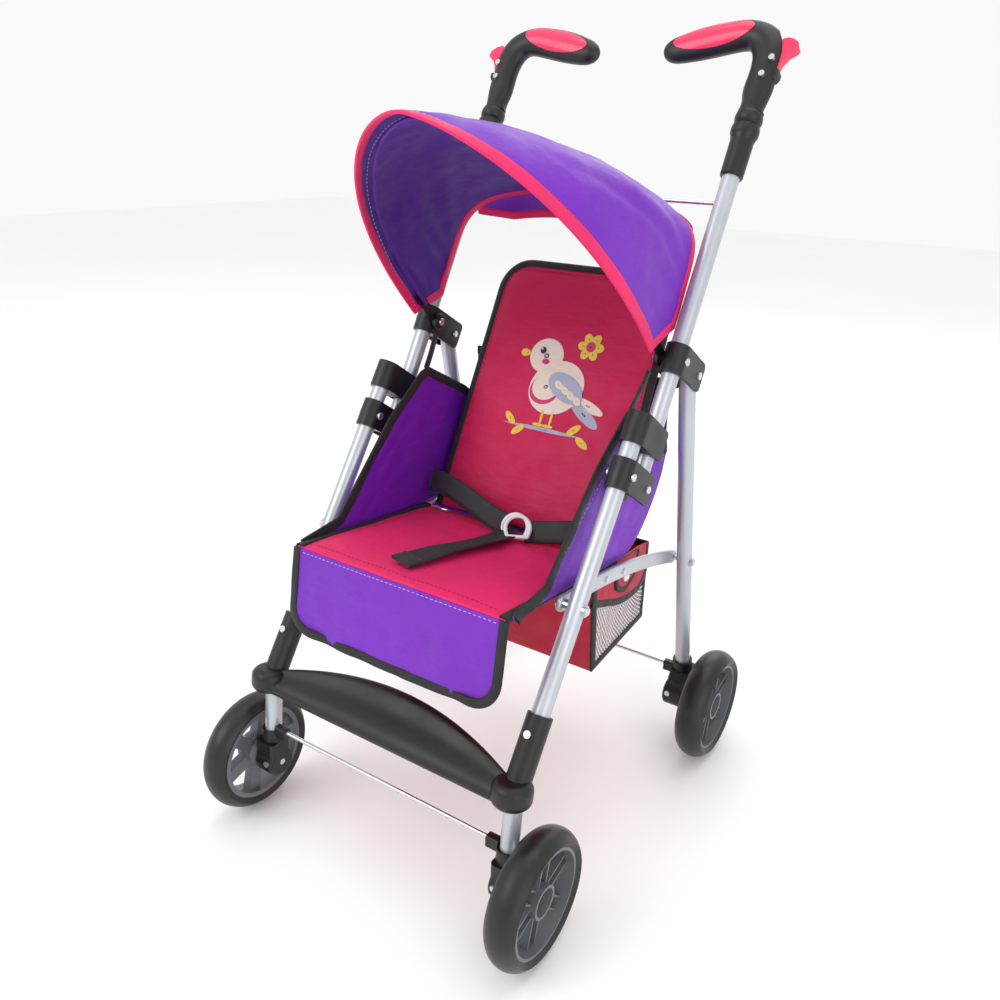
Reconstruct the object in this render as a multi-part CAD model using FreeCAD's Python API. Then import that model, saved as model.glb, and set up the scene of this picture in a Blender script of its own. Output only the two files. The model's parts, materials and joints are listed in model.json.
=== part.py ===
import FreeCAD, Part
import math
import os

# Folding doll stroller. Millimetres, +Z up, +X the stroller's left side, front towards -Y.
# Points are written from the front axle (y = 0) and the floor (z = 0); the export moves them
# so that the origin is at the middle of the footprint.

V = FreeCAD.Vector
X_AXIS = V(1, 0, 0)
Y_AXIS = V(0, 1, 0)

SIDES = (("left", 1), ("right", -1))

# ---- driving dimensions ----
TUBE_R = 8.0              # 16 mm steel tube
TUBE_WALL = 1.2
FRAME_X = 138.0           # side plane of every frame tube
WHEEL_R = 60.0
WHEEL_BASE = 342.0
FRONT_WHEEL_X = 165.0
REAR_WHEEL_X = 175.5
TYRE_WIDTH = 30.0
TYRE_DEPTH = 13.0
AXLE_R = 3.0
BOLT_R = 2.5
HEAD_R = 3.6
HEAD_H = 2.2
RUN = 0.06                # radial clearance of a pin that something turns on
GAP = 0.3                 # clearance between flat moving faces
FRONT_TO_REAR_ORIGIN = 175.5

# ---- frame geometry in the side plane, (y, z) ----
FRONT_FOOT = (0.0, 78.0)
FRONT_BEND = (7.0, 150.8)
RAIL_FRONT = (91.4, 279.0)        # rail pivot on the front tube
FRONT_DIR = (0.550, 0.835)
FRONT_TOP_RUN = 171.5             # front tube length above the rail pivot
LOWER_BRACKET_RUN = 117.1         # rail pivot to lower bracket, along the tube
CLIP_RUN = 158.1                  # rail pivot to snap clip, along the tube
LINK = 38.0                       # distance between the two bolts of a bracket
HANDLE_DIR = (0.498, 0.867)
UPPER_BRACKET_RUN = 116.7         # handle pivot to upper bracket, along the handle tube
HANDLE_TUBE_RUN = 372.0
LEG_DIR = (0.2110, -0.9775)
RAIL_REAR_RUN = 210.6             # leg pivot to rail pivot, along the leg
LEG_RUN = 366.0
RAIL_RISE = 8.0


BRACKET_HALF = 11.0        # half width across X
BRACKET_HEIGHT = 27.0
SLOT_HALF = TUBE_R + GAP
HUB_R = 15.0
BORE_R = AXLE_R + RUN
RIM_R = WHEEL_R - TYRE_DEPTH
SPOKES = 6
SPOKE_TURN = 16.0
HUB_FLOOR = -4.0
WEB_IN = -5.0
WIRE_R = 2.0
FRONT_AXLE = (0.0, WHEEL_R)
REAR_AXLE = (WHEEL_BASE, WHEEL_R)
FRONT_WIRE = (0.0, 98.0)
REAR_WIRE = (352.0, 86.0)
WIRE_FRONT_X = 129.0
REAR_SCREW = (REAR_AXLE[0] - 14.0, REAR_AXLE[1] + 4.0)
FRONT_SCREW = (FRONT_AXLE[0] - 14.0, FRONT_AXLE[1] + 3.0)
SOCKET_R = 11.0
NOSE_R = 17.5
NOSE_HEIGHT = 22.5
RAIL_X = 121.6
RAIL_THICK = 5.0
RAIL_HALF = 7.0
RAIL_RIVETS = (0.33, 0.48)
COLLAR_START = 288.0
GRIP_STATIONS = (
    # x, run along the tube, in-plane width, thickness
    (138.0, 349.5, 24.0, 21.0),
    (138.0, 366.0, 25.0, 21.0),
    (138.5, 386.0, 25.5, 21.5),
    (138.0, 404.0, 27.5, 21.5),
    (131.0, 419.0, 28.5, 21.5),
    (117.0, 425.0, 27.5, 22.0),
    (98.0, 423.5, 30.0, 22.0),
    (76.0, 419.0, 31.0, 21.0),
    (54.0, 413.5, 27.0, 19.0),
    (41.0, 410.5, 19.0, 15.0),
    (36.5, 409.5, 9.0, 8.0),
)
PIN_X = 145.5
PIN_RUN = 397.0
PIN_R = 1.5
INLAY_CENTRE = (84.0, 421.0)
INLAY_TILT = 0.2
ROD_R = 2.0
ROD_HALF = 133.0
BOW_DIR = (-0.701, 0.713)
BOW_RUN = 266.0
ARM_RUN = 44.0
ARM_X = 125.3
ARM_THICK = 1.5
BOW_R = 1.8
HEM_BASE = (214.0, 469.0)
HEM_TOP = (37.0, 651.0)
REAR_BASE = (259.0, 482.0)
REAR_TOP = (312.5, 586.0)
CANOPY_HALF = 129.2
CANOPY_CLOTH = 1.9
CANOPY_CROWN = 19.0
PAN_HALF = 113.2
PAN_FRONT = (25.0, 290.0)
PAN_REAR = (211.0, 268.0)
PAN_THICK = 7.0
WING_IN = 113.2
WING_OUT = 116.0
BACK_BOTTOM = (214.0, 272.0)
BACK_TOP = (333.0, 515.0)
BACK_HALF = 103.0
BACK_THICK = 10.0
WING_OUTLINE = [(31.0, 291.5), (80.0, 297.0), (97.0, 315.0), (156.0, 376.0), (206.0, 414.0), (216.0, 417.0),
                (282.0, 384.0), (300.0, 372.0), (302.0, 350.0), (290.0, 322.0), (262.0, 288.0), (235.0, 269.0),
                (213.0, 269.0)]
BASKET_HALF = 112.0        # half width at the front
BASKET_TAPER = 19.5        # how much each side draws in by the rear
BASKET_WALL = 2.0
BASKET_FRONT_Y = 172.0
BASKET_REAR_Y = 334.0
BASKET_SIDE = [(172.0, 260.0), (182.0, 158.0), (333.0, 144.0), (334.0, 238.0), (216.0, 260.0)]
FLAP_SIDE = [(222.0, 258.0), (296.0, 245.0), (288.0, 214.0), (262.0, 207.0), (236.0, 222.0)]
BELT_HALF_WIDTH = 11.0
HOUSING_OUT = 151.0


def unit(d):
    length = math.hypot(d[0], d[1])
    return (d[0] / length, d[1] / length)


def along(p, d, s, out=0.0):
    """Point s along direction d from p, and out towards the rear normal of d."""
    d = unit(d)
    return (p[0] + s * d[0] + out * d[1], p[1] + s * d[1] - out * d[0])


def at(x, p):
    return V(x, p[0], p[1])


def vec(d):
    d = unit(d)
    return V(0, d[0], d[1])


LOWER_BOLT = along(RAIL_FRONT, FRONT_DIR, LOWER_BRACKET_RUN)
HANDLE_PIVOT = along(RAIL_FRONT, FRONT_DIR, LOWER_BRACKET_RUN, LINK)
FRONT_TOP = along(RAIL_FRONT, FRONT_DIR, FRONT_TOP_RUN)
CLIP_CENTRE = along(RAIL_FRONT, FRONT_DIR, CLIP_RUN)
UPPER_BOLT = along(HANDLE_PIVOT, HANDLE_DIR, UPPER_BRACKET_RUN)
LEG_PIVOT = along(HANDLE_PIVOT, HANDLE_DIR, UPPER_BRACKET_RUN, LINK)
RAIL_REAR = along(LEG_PIVOT, LEG_DIR, RAIL_REAR_RUN)
LEG_END = along(LEG_PIVOT, LEG_DIR, LEG_RUN)
ROD_CENTRE = along(HANDLE_PIVOT, HANDLE_DIR, 263.3)


# ---- helpers ----
def rod(a, b, r):
    d = b - a
    return Part.makeCylinder(r, d.Length, a, d)


def tube(a, b, r=TUBE_R, wall=TUBE_WALL):
    return rod(a, b, r).cut(rod(a, b, r - wall))


def prism(points, x0, x1):
    """Side-plane outline pulled from x0 to x1."""
    wire = Part.makePolygon([V(x0, p[0], p[1]) for p in points + points[:1]])
    return Part.Face(wire).extrude(V(x1 - x0, 0, 0))


def rounded(shape, radius, pick):
    edges = [e for e in shape.Edges if pick(e)]
    return shape.makeFillet(radius, edges) if edges else shape


def mirror(shape):
    return shape.mirror(V(0, 0, 0), X_AXIS)


def on_side(shape, sign):
    return shape if sign > 0 else mirror(shape)


def both(shape):
    return [shape, mirror(shape)]


def bolt(x_in, x_out, p, r=BOLT_R, head_in=True, head_out=True):
    """Cross bolt along X with a domed head at each end that has one."""
    body = rod(at(x_in, p), at(x_out, p), r)
    for x, sign, wanted in ((x_in, -1, head_in), (x_out, 1, head_out)):
        if wanted:
            start = at(x, p)
            head = Part.makeCylinder(HEAD_R, HEAD_H, start, V(sign, 0, 0))
            tip = x + sign * HEAD_H
            head = rounded(head, 1.4, lambda e: abs(e.BoundBox.XMin - tip) < 1e-3
                           and abs(e.BoundBox.XMax - tip) < 1e-3)
            body = body.fuse(head)
    return body.removeSplitter()


PARTS = []


def add(name, *solids):
    shape = solids[0] if len(solids) == 1 else Part.makeCompound(list(solids))
    PARTS.append((name, shape))


# ---- frame tubes ----
def bent_tube_path(points, radius):
    """Straight runs joined by one tangent arc."""
    a, b, c = points
    d1 = (b - a).normalize()
    d2 = (c - b).normalize()
    turn = d1.getAngle(d2)
    cut = radius * math.tan(turn / 2)
    p1 = b - d1 * cut
    p2 = b + d2 * cut
    middle = (d2 - d1).normalize()
    centre = b + middle * (radius / math.cos(turn / 2))
    half_way = centre - middle * radius
    edges = [Part.LineSegment(a, p1).toShape(), Part.Arc(p1, half_way, p2).toShape()]
    edges.append(Part.LineSegment(p2, c).toShape())
    return Part.Wire(edges)


def sweep(path, start, direction, r):
    profile = Part.Wire(Part.Circle(start, direction, r).toShape())
    return path.makePipeShell([profile], True, False)


def front_tube():
    points = [at(FRAME_X, FRONT_FOOT), at(FRAME_X, FRONT_BEND), at(FRAME_X, FRONT_TOP)]
    path = bent_tube_path(points, 45.0)
    direction = points[1] - points[0]
    outer = sweep(path, points[0], direction, TUBE_R)
    inner = sweep(path, points[0], direction, TUBE_R - TUBE_WALL)
    shell = outer.cut(inner)
    for p in (RAIL_FRONT, LOWER_BOLT):
        shell = shell.cut(rod(at(FRAME_X - 20, p), at(FRAME_X + 20, p), BOLT_R))
    return shell


def handle_tube():
    bottom = along(HANDLE_PIVOT, HANDLE_DIR, -9.0)
    top = along(HANDLE_PIVOT, HANDLE_DIR, HANDLE_TUBE_RUN)
    shell = tube(at(FRAME_X, bottom), at(FRAME_X, top))
    pivot = rod(at(FRAME_X - 20, HANDLE_PIVOT), at(FRAME_X + 20, HANDLE_PIVOT), BOLT_R + RUN)
    cross = rod(at(FRAME_X - 20, UPPER_BOLT), at(FRAME_X + 20, UPPER_BOLT), BOLT_R)
    socket = rod(at(FRAME_X - 20, ROD_CENTRE), at(FRAME_X, ROD_CENTRE), ROD_R)
    return shell.cut(pivot).cut(cross).cut(socket)


def rear_leg():
    top = along(LEG_PIVOT, LEG_DIR, -9.0)
    shell = tube(at(FRAME_X, top), at(FRAME_X, LEG_END))
    pivot = rod(at(FRAME_X - 20, LEG_PIVOT), at(FRAME_X + 20, LEG_PIVOT), BOLT_R + RUN)
    cross = rod(at(FRAME_X - 20, RAIL_REAR), at(FRAME_X + 20, RAIL_REAR), BOLT_R)
    return shell.cut(pivot).cut(cross)


# ---- brackets ----


def bracket(centre, direction, reach, slot_start, height, corner):
    """Moulding that loops round one tube and reaches back with two cheeks round the next."""
    d = vec(direction)
    back = V(0, d.z, -d.y)
    c = at(FRAME_X, centre)
    low = c - d * (height / 2)
    loop = Part.makeCylinder(BRACKET_HALF, height, low, d)
    side = X_AXIS * BRACKET_HALF
    plate = Part.makePolygon([low - side, low + side, low + side + back * reach,
                              low - side + back * reach, low - side])
    body = loop.fuse(Part.Face(plate).extrude(d * height)).removeSplitter()
    end = c + back * reach

    def rear_corner(e):
        mid = e.valueAt((e.FirstParameter + e.LastParameter) / 2)
        return abs((mid - end).dot(back)) < 0.01 and abs((mid - c).dot(X_AXIS)) < 0.01
    body = rounded(body, corner, rear_corner)
    body = body.cut(rod(low - d * 5, low + d * (height + 5), TUBE_R))
    slot_low = low + back * slot_start - d * 5
    slot_side = X_AXIS * SLOT_HALF
    deep = back * (reach - slot_start + 5)
    slot = Part.makePolygon([slot_low - slot_side, slot_low + slot_side, slot_low + slot_side + deep,
                             slot_low - slot_side + deep, slot_low - slot_side])
    return body.cut(Part.Face(slot).extrude(d * (height + 10)))


def pivot_bracket(bolt_at, direction, pivot_at):
    body = bracket(bolt_at, direction, LINK + 10.0, 13.0, BRACKET_HEIGHT, 5.0)
    for p in (bolt_at, pivot_at):
        body = body.cut(rod(at(FRAME_X - 20, p), at(FRAME_X + 20, p), BOLT_R))
    return body


def snap_clip():
    return bracket(CLIP_CENTRE, FRONT_DIR, 45.0, 26.0, BRACKET_HEIGHT, 4.0)


# ---- wheels ----


def revolve_x(profile, centre):
    """Closed (x, r) outline turned about the wheel's axis."""
    points = [V(centre.x + x, centre.y, centre.z + r) for x, r in profile]
    wire = Part.makePolygon(points + points[:1])
    return Part.Face(wire).revolve(centre, X_AXIS, 360)


def tyre(centre):
    half = TYRE_WIDTH / 2
    bead = half - 3.0
    a = V(centre.x - bead, centre.y, centre.z + RIM_R)
    b = V(centre.x - half, centre.y, centre.z + RIM_R + 5.0)
    crown = V(centre.x, centre.y, centre.z + WHEEL_R)
    c = V(centre.x + half, centre.y, centre.z + RIM_R + 5.0)
    d = V(centre.x + bead, centre.y, centre.z + RIM_R)
    edges = [Part.LineSegment(d, a).toShape(), Part.LineSegment(a, b).toShape()]
    edges.append(Part.Arc(b, crown, c).toShape())
    edges.append(Part.LineSegment(c, d).toShape())
    return Part.Face(Part.Wire(edges)).revolve(centre, X_AXIS, 360)


def rim(centre, hub_in):
    """Moulded rim for the +X side: band, channel spokes, web and a deeply cupped hub."""
    half = TYRE_WIDTH / 2 - 3.0
    lip = 2.6
    band = revolve_x([(-half, RIM_R - 4.5), (half, RIM_R - lip), (half, RIM_R), (-half, RIM_R)], centre)
    face = half - 2.0
    hub = revolve_x([(-hub_in, BORE_R), (-hub_in, 9.0), (-7.5, HUB_R), (face, HUB_R), (face, 12.4),
                     (HUB_FLOOR, 11.4), (HUB_FLOOR, BORE_R)], centre)
    body = band.fuse(hub)
    length = RIM_R - 3 - HUB_R + 2
    for k in range(SPOKES):
        spoke = Part.makeBox(3.0, length, 13.0, V(0, HUB_R - 2, -6.5))
        for z in (-6.5, 4.5):
            spoke = spoke.fuse(Part.makeBox(10.0, length, 2.0, V(0, HUB_R - 2, z)))
        spoke.translate(V(WEB_IN, 0, 0))
        spoke.rotate(V(0, 0, 0), X_AXIS, k * 360 / SPOKES + SPOKE_TURN)
        spoke.translate(centre)
        body = body.fuse(spoke)
    return body.fuse(hub_web(centre)).removeSplitter()


def hub_web(centre):
    """Plate round the hub with a concave bay between each pair of spokes."""
    plate = Part.makeCylinder(24.0, 3.0, V(WEB_IN, 0, 0), X_AXIS)
    plate = plate.cut(Part.makeCylinder(HUB_R - 1.0, 3.0, V(WEB_IN, 0, 0), X_AXIS))
    for k in range(SPOKES):
        angle = math.radians((k + 0.5) * 360 / SPOKES + SPOKE_TURN)
        bay = V(WEB_IN - 1, 27.5 * math.cos(angle), 27.5 * math.sin(angle))
        plate = plate.cut(Part.makeCylinder(11.5, 5.0, bay, X_AXIS))
    plate.translate(centre)
    return plate


# ---- wheel housings ----
def housing(tube_end, tube_dir, axle, x_out, wire_at):
    """Black block that holds a tube's end above and the axle below, with a wire clip inboard."""
    d = vec(tube_dir)
    foot = at(FRAME_X, tube_end)
    collar = Part.makeCylinder(10.6, 20.0, foot - d * 2, d)
    low = Part.makeCylinder(15.0, x_out - (FRAME_X - 10.5), at(FRAME_X - 10.5, axle), X_AXIS)
    block = Part.makeBox(x_out - FRAME_X + 10.5, 24.0, 32.0, at(FRAME_X - 10.5, (axle[0] - 12, axle[1] - 8)))
    if abs(tube_end[0] - axle[0]) > 5:
        top = tube_end[0]
        block = prism([(axle[0] - 12, axle[1]), (axle[0] + 12, axle[1] - 8), (top + 11, tube_end[1]),
                       (top + 10, tube_end[1] + 8), (top - 12, tube_end[1] + 4)], FRAME_X - 10.5, x_out)
    block = rounded(block, 4.0, lambda e: e.BoundBox.XLength < 0.01 and e.BoundBox.ZLength > 5)
    low = rounded(low, 3.0, lambda e: e.BoundBox.XLength < 0.01)
    body = collar.fuse(low).fuse(block)
    screw = FRONT_SCREW if axle == FRONT_AXLE else REAR_SCREW
    tab = Part.makeBox(12.0, 9.0, 12.0, V(FRAME_X - 20.0, wire_at[0] - 4.5, wire_at[1] - 8.0))
    tab = rounded(tab, 2.5, lambda e: e.BoundBox.XLength > 1)
    body = body.fuse(tab).removeSplitter()
    body = body.cut(rod(foot, foot + d * 60, TUBE_R)).cut(housing_screw(screw))
    body = body.cut(rod(at(FRAME_X - 30, axle), at(FRAME_X + 40, axle), AXLE_R))
    return body.cut(rod(at(FRAME_X - 25, wire_at), at(FRAME_X - 9, wire_at), WIRE_R))


def cross_wire(p):
    return rod(at(-WIRE_FRONT_X, p), at(WIRE_FRONT_X, p), WIRE_R)


def axle_pin(x_in, x_out, p):
    pin = rod(at(x_in, p), at(x_out, p), AXLE_R)
    cap = Part.makeCylinder(6.0, 2.0, at(x_out, p), X_AXIS)
    return pin.fuse(cap).removeSplitter()


def housing_screw(p):
    """Pan head on the housing's front face, driven along +Y."""
    shank = Part.makeCylinder(1.5, 7.0, at(FRAME_X - 4, p), Y_AXIS)
    head = Part.makeCylinder(3.0, 1.8, at(FRAME_X - 4, p), -Y_AXIS)
    return shank.fuse(head).removeSplitter()


# ---- footrest ----


def footrest():
    """Arched tread between two sockets that slide over the front tubes."""
    sections = []
    half = 126.0
    for k in range(9):
        x = -half + k * half / 4
        bow = 1 - (x / half) ** 2
        rear_y = 12 + 24 * bow
        rear_z = 161 + 13 * bow
        outline = [(-7, 143), (-8.5, 148), (-6, 153), (rear_y * 0.45, 160 + 6 * bow),
                   (rear_y - 3, rear_z + 1), (rear_y, rear_z - 3), (rear_y - 3, rear_z - 7),
                   (rear_y * 0.45, 151 + 6 * bow), (-2, 142)]
        points = [V(x, y, z) for y, z in outline]
        curve = Part.BSplineCurve()
        curve.interpolate(points, PeriodicFlag=True)
        sections.append(Part.Wire(curve.toShape()))
    board = Part.makeLoft(sections, True, False)
    body = board
    for sign in (1, -1):
        x = sign * FRAME_X
        start = at(x, FRONT_BEND)
        d = vec(FRONT_DIR)
        sleeve = Part.makeCylinder(SOCKET_R, 63.0, start, d)
        nose = Part.makeCylinder(NOSE_R, NOSE_HEIGHT, V(x, 1.0, 140.5), vec((0.15, 1.0)))
        nose = rounded(nose, 8.0, lambda e: e.BoundBox.XLength > 1)
        body = body.fuse(sleeve).fuse(nose)
    for sign in (1, -1):
        path = bent_tube_path([at(sign * FRAME_X, FRONT_FOOT), at(sign * FRAME_X, FRONT_BEND),
                               at(sign * FRAME_X, FRONT_TOP)], 45.0)
        start = at(sign * FRAME_X, FRONT_FOOT)
        direction = at(sign * FRAME_X, FRONT_BEND) - start
        body = body.cut(sweep(path, start, direction, TUBE_R))
        body = body.cut(footrest_rivet(sign))
    return body


def footrest_rivet(sign):
    d = vec(FRONT_DIR)
    front = V(0, -d.z, d.y)
    centre = at(sign * FRAME_X, along(FRONT_BEND, FRONT_DIR, 46.0))
    start = centre + front * TUBE_R
    shank = Part.makeCylinder(2.0, SOCKET_R - TUBE_R, start, front)
    head = Part.makeCylinder(3.2, 1.8, centre + front * SOCKET_R, front)
    return shank.fuse(head).removeSplitter()


# ---- seat rail ----


def rail_solid():
    """Flattened tube, slightly arched, with a rounded eye at each end."""
    a = at(RAIL_X, RAIL_FRONT)
    b = at(RAIL_X, RAIL_REAR)
    d = (b - a).normalize()
    normal = V(0, -d.z, d.y)
    middle = (a + b) * 0.5 + normal * RAIL_RISE
    centre = Part.Arc(a, middle, b).toShape().Curve.Center
    across_a = (a - centre).normalize() * RAIL_HALF
    across_b = (b - centre).normalize() * RAIL_HALF
    across_m = (middle - centre).normalize() * RAIL_HALF
    tangent_a = V(0, across_a.z, -across_a.y)
    tangent_b = V(0, across_b.z, -across_b.y)
    if tangent_a.dot(d) > 0:
        tangent_a = tangent_a * -1
    if tangent_b.dot(d) < 0:
        tangent_b = tangent_b * -1
    edges = [Part.Arc(a + across_a, middle + across_m, b + across_b).toShape()]
    edges.append(Part.Arc(b + across_b, b + tangent_b, b - across_b).toShape())
    edges.append(Part.Arc(b - across_b, middle - across_m, a - across_a).toShape())
    edges.append(Part.Arc(a - across_a, a + tangent_a, a + across_a).toShape())
    body = Part.Face(Part.Wire(edges)).extrude(X_AXIS * RAIL_THICK)
    body = body.makeFillet(1.8, [e for e in body.Edges if abs(e.BoundBox.XLength) < 0.01])
    hole = rod(a - X_AXIS * 5, a + X_AXIS * 15, BOLT_R + RUN)
    end_hole = rod(b - X_AXIS * 5, b + X_AXIS * 15, BOLT_R)
    body = body.cut(hole).cut(end_hole)
    for s in RAIL_RIVETS:
        p = (a[1] + (b[1] - a[1]) * s, rail_height(a, b, s))
        body = body.cut(rod(at(RAIL_X - 2, p), at(RAIL_X + 7, p), 1.8))
    return body


def rail_height(a, b, s):
    return a[2] + (b[2] - a[2]) * s + RAIL_RISE * 4 * s * (1 - s)


def rail_rivets():
    a = at(RAIL_X, RAIL_FRONT)
    b = at(RAIL_X, RAIL_REAR)
    found = []
    for s in RAIL_RIVETS:
        p = (a[1] + (b[1] - a[1]) * s, rail_height(a, b, s))
        shank = rod(at(RAIL_X, p), at(RAIL_X + RAIL_THICK, p), 1.8)
        head = Part.makeCylinder(3.0, 1.4, at(RAIL_X + RAIL_THICK, p), X_AXIS)
        found += both(shank.fuse(head).removeSplitter())
    end = rod(at(RAIL_X, RAIL_REAR), at(RAIL_X + RAIL_THICK, RAIL_REAR), BOLT_R)
    found += both(end)
    return found


# ---- handles ----
def plane_point(x, run, out=0.0):
    """Point in a handle's own plane: x across, run along the handle tube, out to its rear."""
    return at(x, along(HANDLE_PIVOT, HANDLE_DIR, run, out))


def collar():
    """Turned plastic collar with two beads at its upper end."""
    d = vec(HANDLE_DIR)
    start = plane_point(FRAME_X, COLLAR_START)
    profile = [(8.0, 0), (9.6, 0), (10.4, 1.5), (10.6, 34), (11.4, 37.5), (12.5, 40), (12.9, 43.5),
               (12.5, 47), (10.8, 49.5), (12.0, 51.5), (12.6, 54.5), (12.2, 58), (11.2, 61), (8.0, 61)]
    wire = Part.makePolygon([start + X_AXIS * r + d * s for r, s in profile + profile[:1]])
    body = Part.Face(wire).revolve(start, d, 360)
    return body.cut(collar_screw())


def collar_screw():
    back = V(0, vec(HANDLE_DIR).z, -vec(HANDLE_DIR).y)
    centre = plane_point(FRAME_X, COLLAR_START + 30.0)
    shank = Part.makeCylinder(1.8, 2.5, centre + back * TUBE_R, back)
    head = Part.makeCylinder(3.2, 1.8, centre + back * 10.5, back)
    return shank.fuse(head).removeSplitter()


def grip_loft(extra):
    """Flattened J in the plane of the handle tube and the X axis, thickened by extra."""
    d = vec(HANDLE_DIR)
    back = V(0, d.z, -d.y)
    centres = [plane_point(s[0], s[1]) for s in GRIP_STATIONS]
    wires = []
    for k, station in enumerate(GRIP_STATIONS):
        before = centres[max(k - 1, 0)]
        after = centres[min(k + 1, len(centres) - 1)]
        heading = (after - before).normalize()
        if k == 0:
            heading = d
        across = heading.cross(back).normalize()
        points = []
        for j in range(12):
            angle = math.radians(j * 30)
            points.append(centres[k] + across * (station[2] / 2 * math.cos(angle))
                          + back * ((station[3] / 2 + extra) * math.sin(angle)))
        curve = Part.BSplineCurve()
        curve.interpolate(points, PeriodicFlag=True)
        wires.append(Part.Wire(curve.toShape()))
    return Part.makeLoft(wires, True, False)


def grip():
    body = grip_loft(0.0)
    bore = rod(plane_point(FRAME_X, 340), plane_point(FRAME_X, HANDLE_TUBE_RUN), TUBE_R)
    slot = trigger_slot()
    body = body.cut(bore).cut(slot)
    ledge = trigger_ledge()
    body = body.fuse(ledge)
    for pin in grip_pins():
        body = body.cut(pin)
    return body.cut(inlay_cutter())


def in_plane_prism(points, half):
    back = V(0, vec(HANDLE_DIR).z, -vec(HANDLE_DIR).y)
    outline = [plane_point(x, run, -half) for x, run in points]
    return Part.Face(Part.makePolygon(outline + outline[:1])).extrude(back * (2 * half))


def trigger_slot():
    return in_plane_prism([(140.5, 388.5), (170.0, 388.5), (170.0, 428.0), (140.5, 428.0)], 4.0)


def trigger_ledge():
    return in_plane_prism([(147.5, 379.0), (151.5, 380.5), (153.5, 384.0), (153.5, 388.4), (147.5, 388.4)], 5.0)


def trigger():
    """Hooked finger lever that turns on its pin across the grip."""
    outline = [(143.0, 392.0), (147.0, 389.5), (151.5, 390.5), (153.5, 397.0), (157.5, 403.5), (163.0, 407.0),
               (164.8, 410.5), (163.2, 415.0), (158.5, 418.5), (152.5, 420.0), (148.5, 419.0), (143.0, 404.0)]
    body = in_plane_prism(outline, 3.7)
    hole = rod(plane_point(PIN_X, PIN_RUN, -12), plane_point(PIN_X, PIN_RUN, 12), PIN_R + RUN)
    return body.cut(hole)


def grip_pins():
    found = []
    for x, run, deep in ((PIN_X, PIN_RUN, 8.0), (141.5, 380.5, 9.6)):
        shank = rod(plane_point(x, run, -deep), plane_point(x, run, deep), PIN_R)
        head = rod(plane_point(x, run, -deep - 3.2), plane_point(x, run, -deep), 2.7)
        found.append(shank.fuse(head).removeSplitter())
    return found


def inlay_cutter():
    """Oval column through the front half of the grip."""
    d = vec(HANDLE_DIR)
    back = V(0, d.z, -d.y)
    centre = plane_point(INLAY_CENTRE[0], INLAY_CENTRE[1], -20.0)
    heading = (X_AXIS + d * INLAY_TILT).normalize()
    ellipse = Part.Ellipse(centre + heading * 38.0, centre + heading.cross(back) * 11.5, centre)
    return Part.Face(Part.Wire(ellipse.toShape())).extrude(back * 15.0)


def inlay():
    """Soft oval pad, slightly proud of the grip's front face."""
    return inlay_cutter().common(grip_loft(1.0))


# ---- canopy ----


def canopy_arm():
    side = 5.0
    points = [along(UPPER_BOLT, BOW_DIR, -6.0, -side), along(UPPER_BOLT, BOW_DIR, -6.0, side),
              along(UPPER_BOLT, BOW_DIR, ARM_RUN, side), along(UPPER_BOLT, BOW_DIR, ARM_RUN, -side)]
    strip = prism(points, ARM_X, ARM_X + ARM_THICK)
    strip = strip.makeFillet(3.0, [e for e in strip.Edges if abs(e.BoundBox.XLength - ARM_THICK) < 1e-3
                                   and abs(e.BoundBox.YLength) < 1e-3])
    hole = rod(at(ARM_X - 5, UPPER_BOLT), at(ARM_X + 5, UPPER_BOLT), BOLT_R + RUN)
    return strip.cut(hole)


def canopy_bow():
    """Spring-wire hoop between the two arms."""
    x_end = ARM_X - BOW_R
    points = []
    steps = 16
    for k in range(steps + 1):
        t = math.pi * k / steps
        x = x_end * math.copysign(abs(math.cos(t)) ** 1.25, math.cos(t))
        run = ARM_RUN - 16 + (BOW_RUN - ARM_RUN + 16) * math.sin(t) ** 0.9
        points.append(at(x, along(UPPER_BOLT, BOW_DIR, run)))
    curve = Part.BSplineCurve()
    curve.interpolate(points)
    path = Part.Wire(curve.toShape())
    return sweep(path, points[0], curve.tangent(curve.FirstParameter)[0], BOW_R)


def boss():
    """Round cap that holds the canopy arm against the upper bracket."""
    outer = ARM_X - 0.2
    cap = Part.makeCylinder(8.0, 5.0, at(outer - 5.0, UPPER_BOLT), X_AXIS)
    cap = rounded(cap, 1.5, lambda e: abs(e.BoundBox.XMax - (outer - 5.0)) < 1e-3)
    return cap.cut(rod(at(outer - 8, UPPER_BOLT), at(outer + 8, UPPER_BOLT), BOLT_R))


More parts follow.
